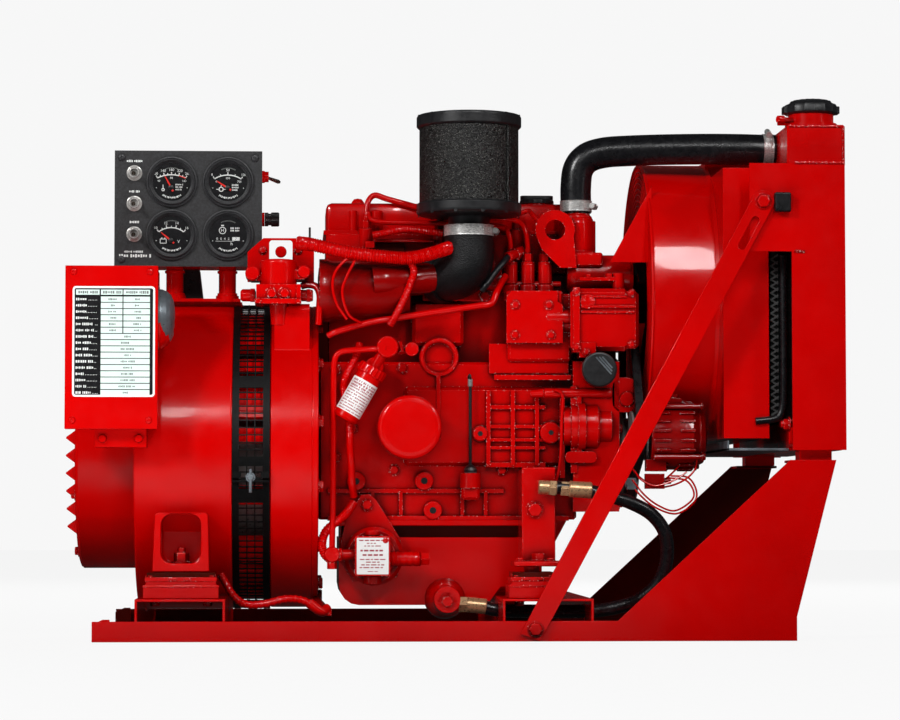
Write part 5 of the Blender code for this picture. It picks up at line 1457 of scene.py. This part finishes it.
def make_alternator_details():
    y, z = -130, 240
    shapes = []
    for x, long, r in ((236, 20, 40.2), (268, 18, 40.2)):
        for angle in spaced(22):
            rib = block((x, -1.6, r - 1), (x + long, 1.6, r + 1.8))
            shapes.append(spun(rib, (0, y, z), angle))
    for angle in spaced(4, 0.4):
        at = (y + 43 * math.cos(angle), z + 43 * math.sin(angle))
        shapes += [rod((236, *at), (294, *at), 3.4, steps=16)] + hex_bolt((294, *at), RIGHT, 8, 4)
    shapes += [spindle([(34, 290), (35, 293), (32, 299), (20, 302)], "X", (y, z), 48)]
    shapes += [block((256, -150, 276), (272, -132, 285)), *hex_bolt((264, -141, 285), UP, 10, 5),
               rod((272, -142, 280), (284, -146, 272), 5, 3.4)]
    shapes += [block((228, -156, 198), (252, -140, 212)),
               rod((246, -150, 222), (284, -150, 218), 5.2, rim=1),
               hexagon((258, -150, 221), (264, -150, 220.5), 6.6)]
    shapes += [block((227, -156, 177), (250, -145, 195)), rod((250, -150, 186), (258, -150, 187), 4)]
    # The alternator's details are in the darker red: painted shade.
    piece("alternator_details", shapes, "painted_shade_red", bevel=0.5)
    loops = [[(281.6, -150, 222.4), (288.7, -152, 214), (286.4, -153, 199.7), (274.5, -152, 187.8),
              (257.8, -151, 180.7), (239.9, -150, 179.5), (222.1, -148, 190.2), (212, -146, 202)],
             [(258, -150, 192.6), (279.2, -150, 190.2), (288.7, -152, 173.6), (284, -154, 159.3),
              (263.7, -154, 147.4), (239.9, -152, 154.5), (222.1, -150, 168.8), (210, -148, 184)],
             [(279.5, -148, 218.8), (265.2, -148, 201), (250, -148, 186.7)],
             [(208, -152, 204), (215, -152, 197.4), (222.1, -156, 187.8), (236.4, -158, 180.7),
              (250.7, -157, 183.1), (264.9, -155, 189), (277, -152, 197)],
             [(256, -152, 190), (276, -152, 187), (285, -154, 173.6), (281, -156, 162),
              (262, -156, 151), (243, -154, 157), (226, -152, 170), (212, -150, 188)]]
    piece("alternator_wires", [tube(points, 1.15, 8, 8) for points in loops], "sheet", bevel=0)
    terminal = [block((206, -150, 176), (217, -140, 190)), hexagon((219, -145, 183), (204, -145, 183), 4.5)]
    piece("alternator_terminal", terminal, "zinc", bevel=0.6)


def make_rear_details():
    """Castings, core plugs and bolts on the side of the engine that faces away."""
    shapes, bolts = [], []
    for x in (-118, -8, 102):
        shapes.append(spindle([(19, 64), (19, 69.6), (17.4, 70.6), (15.6, 68.4)], "Y", (x, 366), 48))
    for x in (-148, -84, 28, 92):
        shapes.append(block((x - 3, 97, 150), (x + 3, 106, 322)))
    for z in (150, 236, 322):
        shapes.append(block((-152, 97, z - 3), (150, 105, z + 3)))
    shapes += [plate(rounded(-62, 176, 6, 292, 14), "Y", 98, 107),
               plate(rounded(-56, 182, 0, 286, 10), "Y", 106, 109)]
    for x, z in ((-54, 184), (-2, 184), (-54, 284), (-2, 284), (-54, 234), (-2, 234)):
        bolts += hex_bolt((x, 109, z), REAR, 9, 4)
    for step in range(7):
        bolts += hex_bolt((-128 + 38 * step, 104, 133), DOWN, 9, 4)
    for x, z in ((-136, 340), (-60, 340), (50, 340), (136, 340), (-140, 200), (134, 200), (130, 300),
                 (-116, 300)):
        bolts += hex_bolt((x, 66 if z > 330 else 100, z), REAR, 10, 5)
    piece("rear_castings", shapes, "cast", bevel=1.2)
    piece("rear_bolts", bolts, "cast", bevel=0.4)
    studs = []
    for x in (-120, -84, -46, 8, 46, 88):
        for z in (453, 473):
            studs += hex_bolt((x, 112, z), REAR, 10, 5)
    piece("manifold_studs", studs, "steel", bevel=0.4)


LOOKS = make_looks()
make_studio()
make_panel_details()
make_terminal_details()
make_generator_details()
make_solenoid_details()
make_engine_top()
make_intake()
make_fuel_side()
make_block_details()
make_filters()
make_lift_pump()
make_lower_details()
make_cooling()
make_braces()
make_alternator_details()
make_rear_details()
keep_frame()
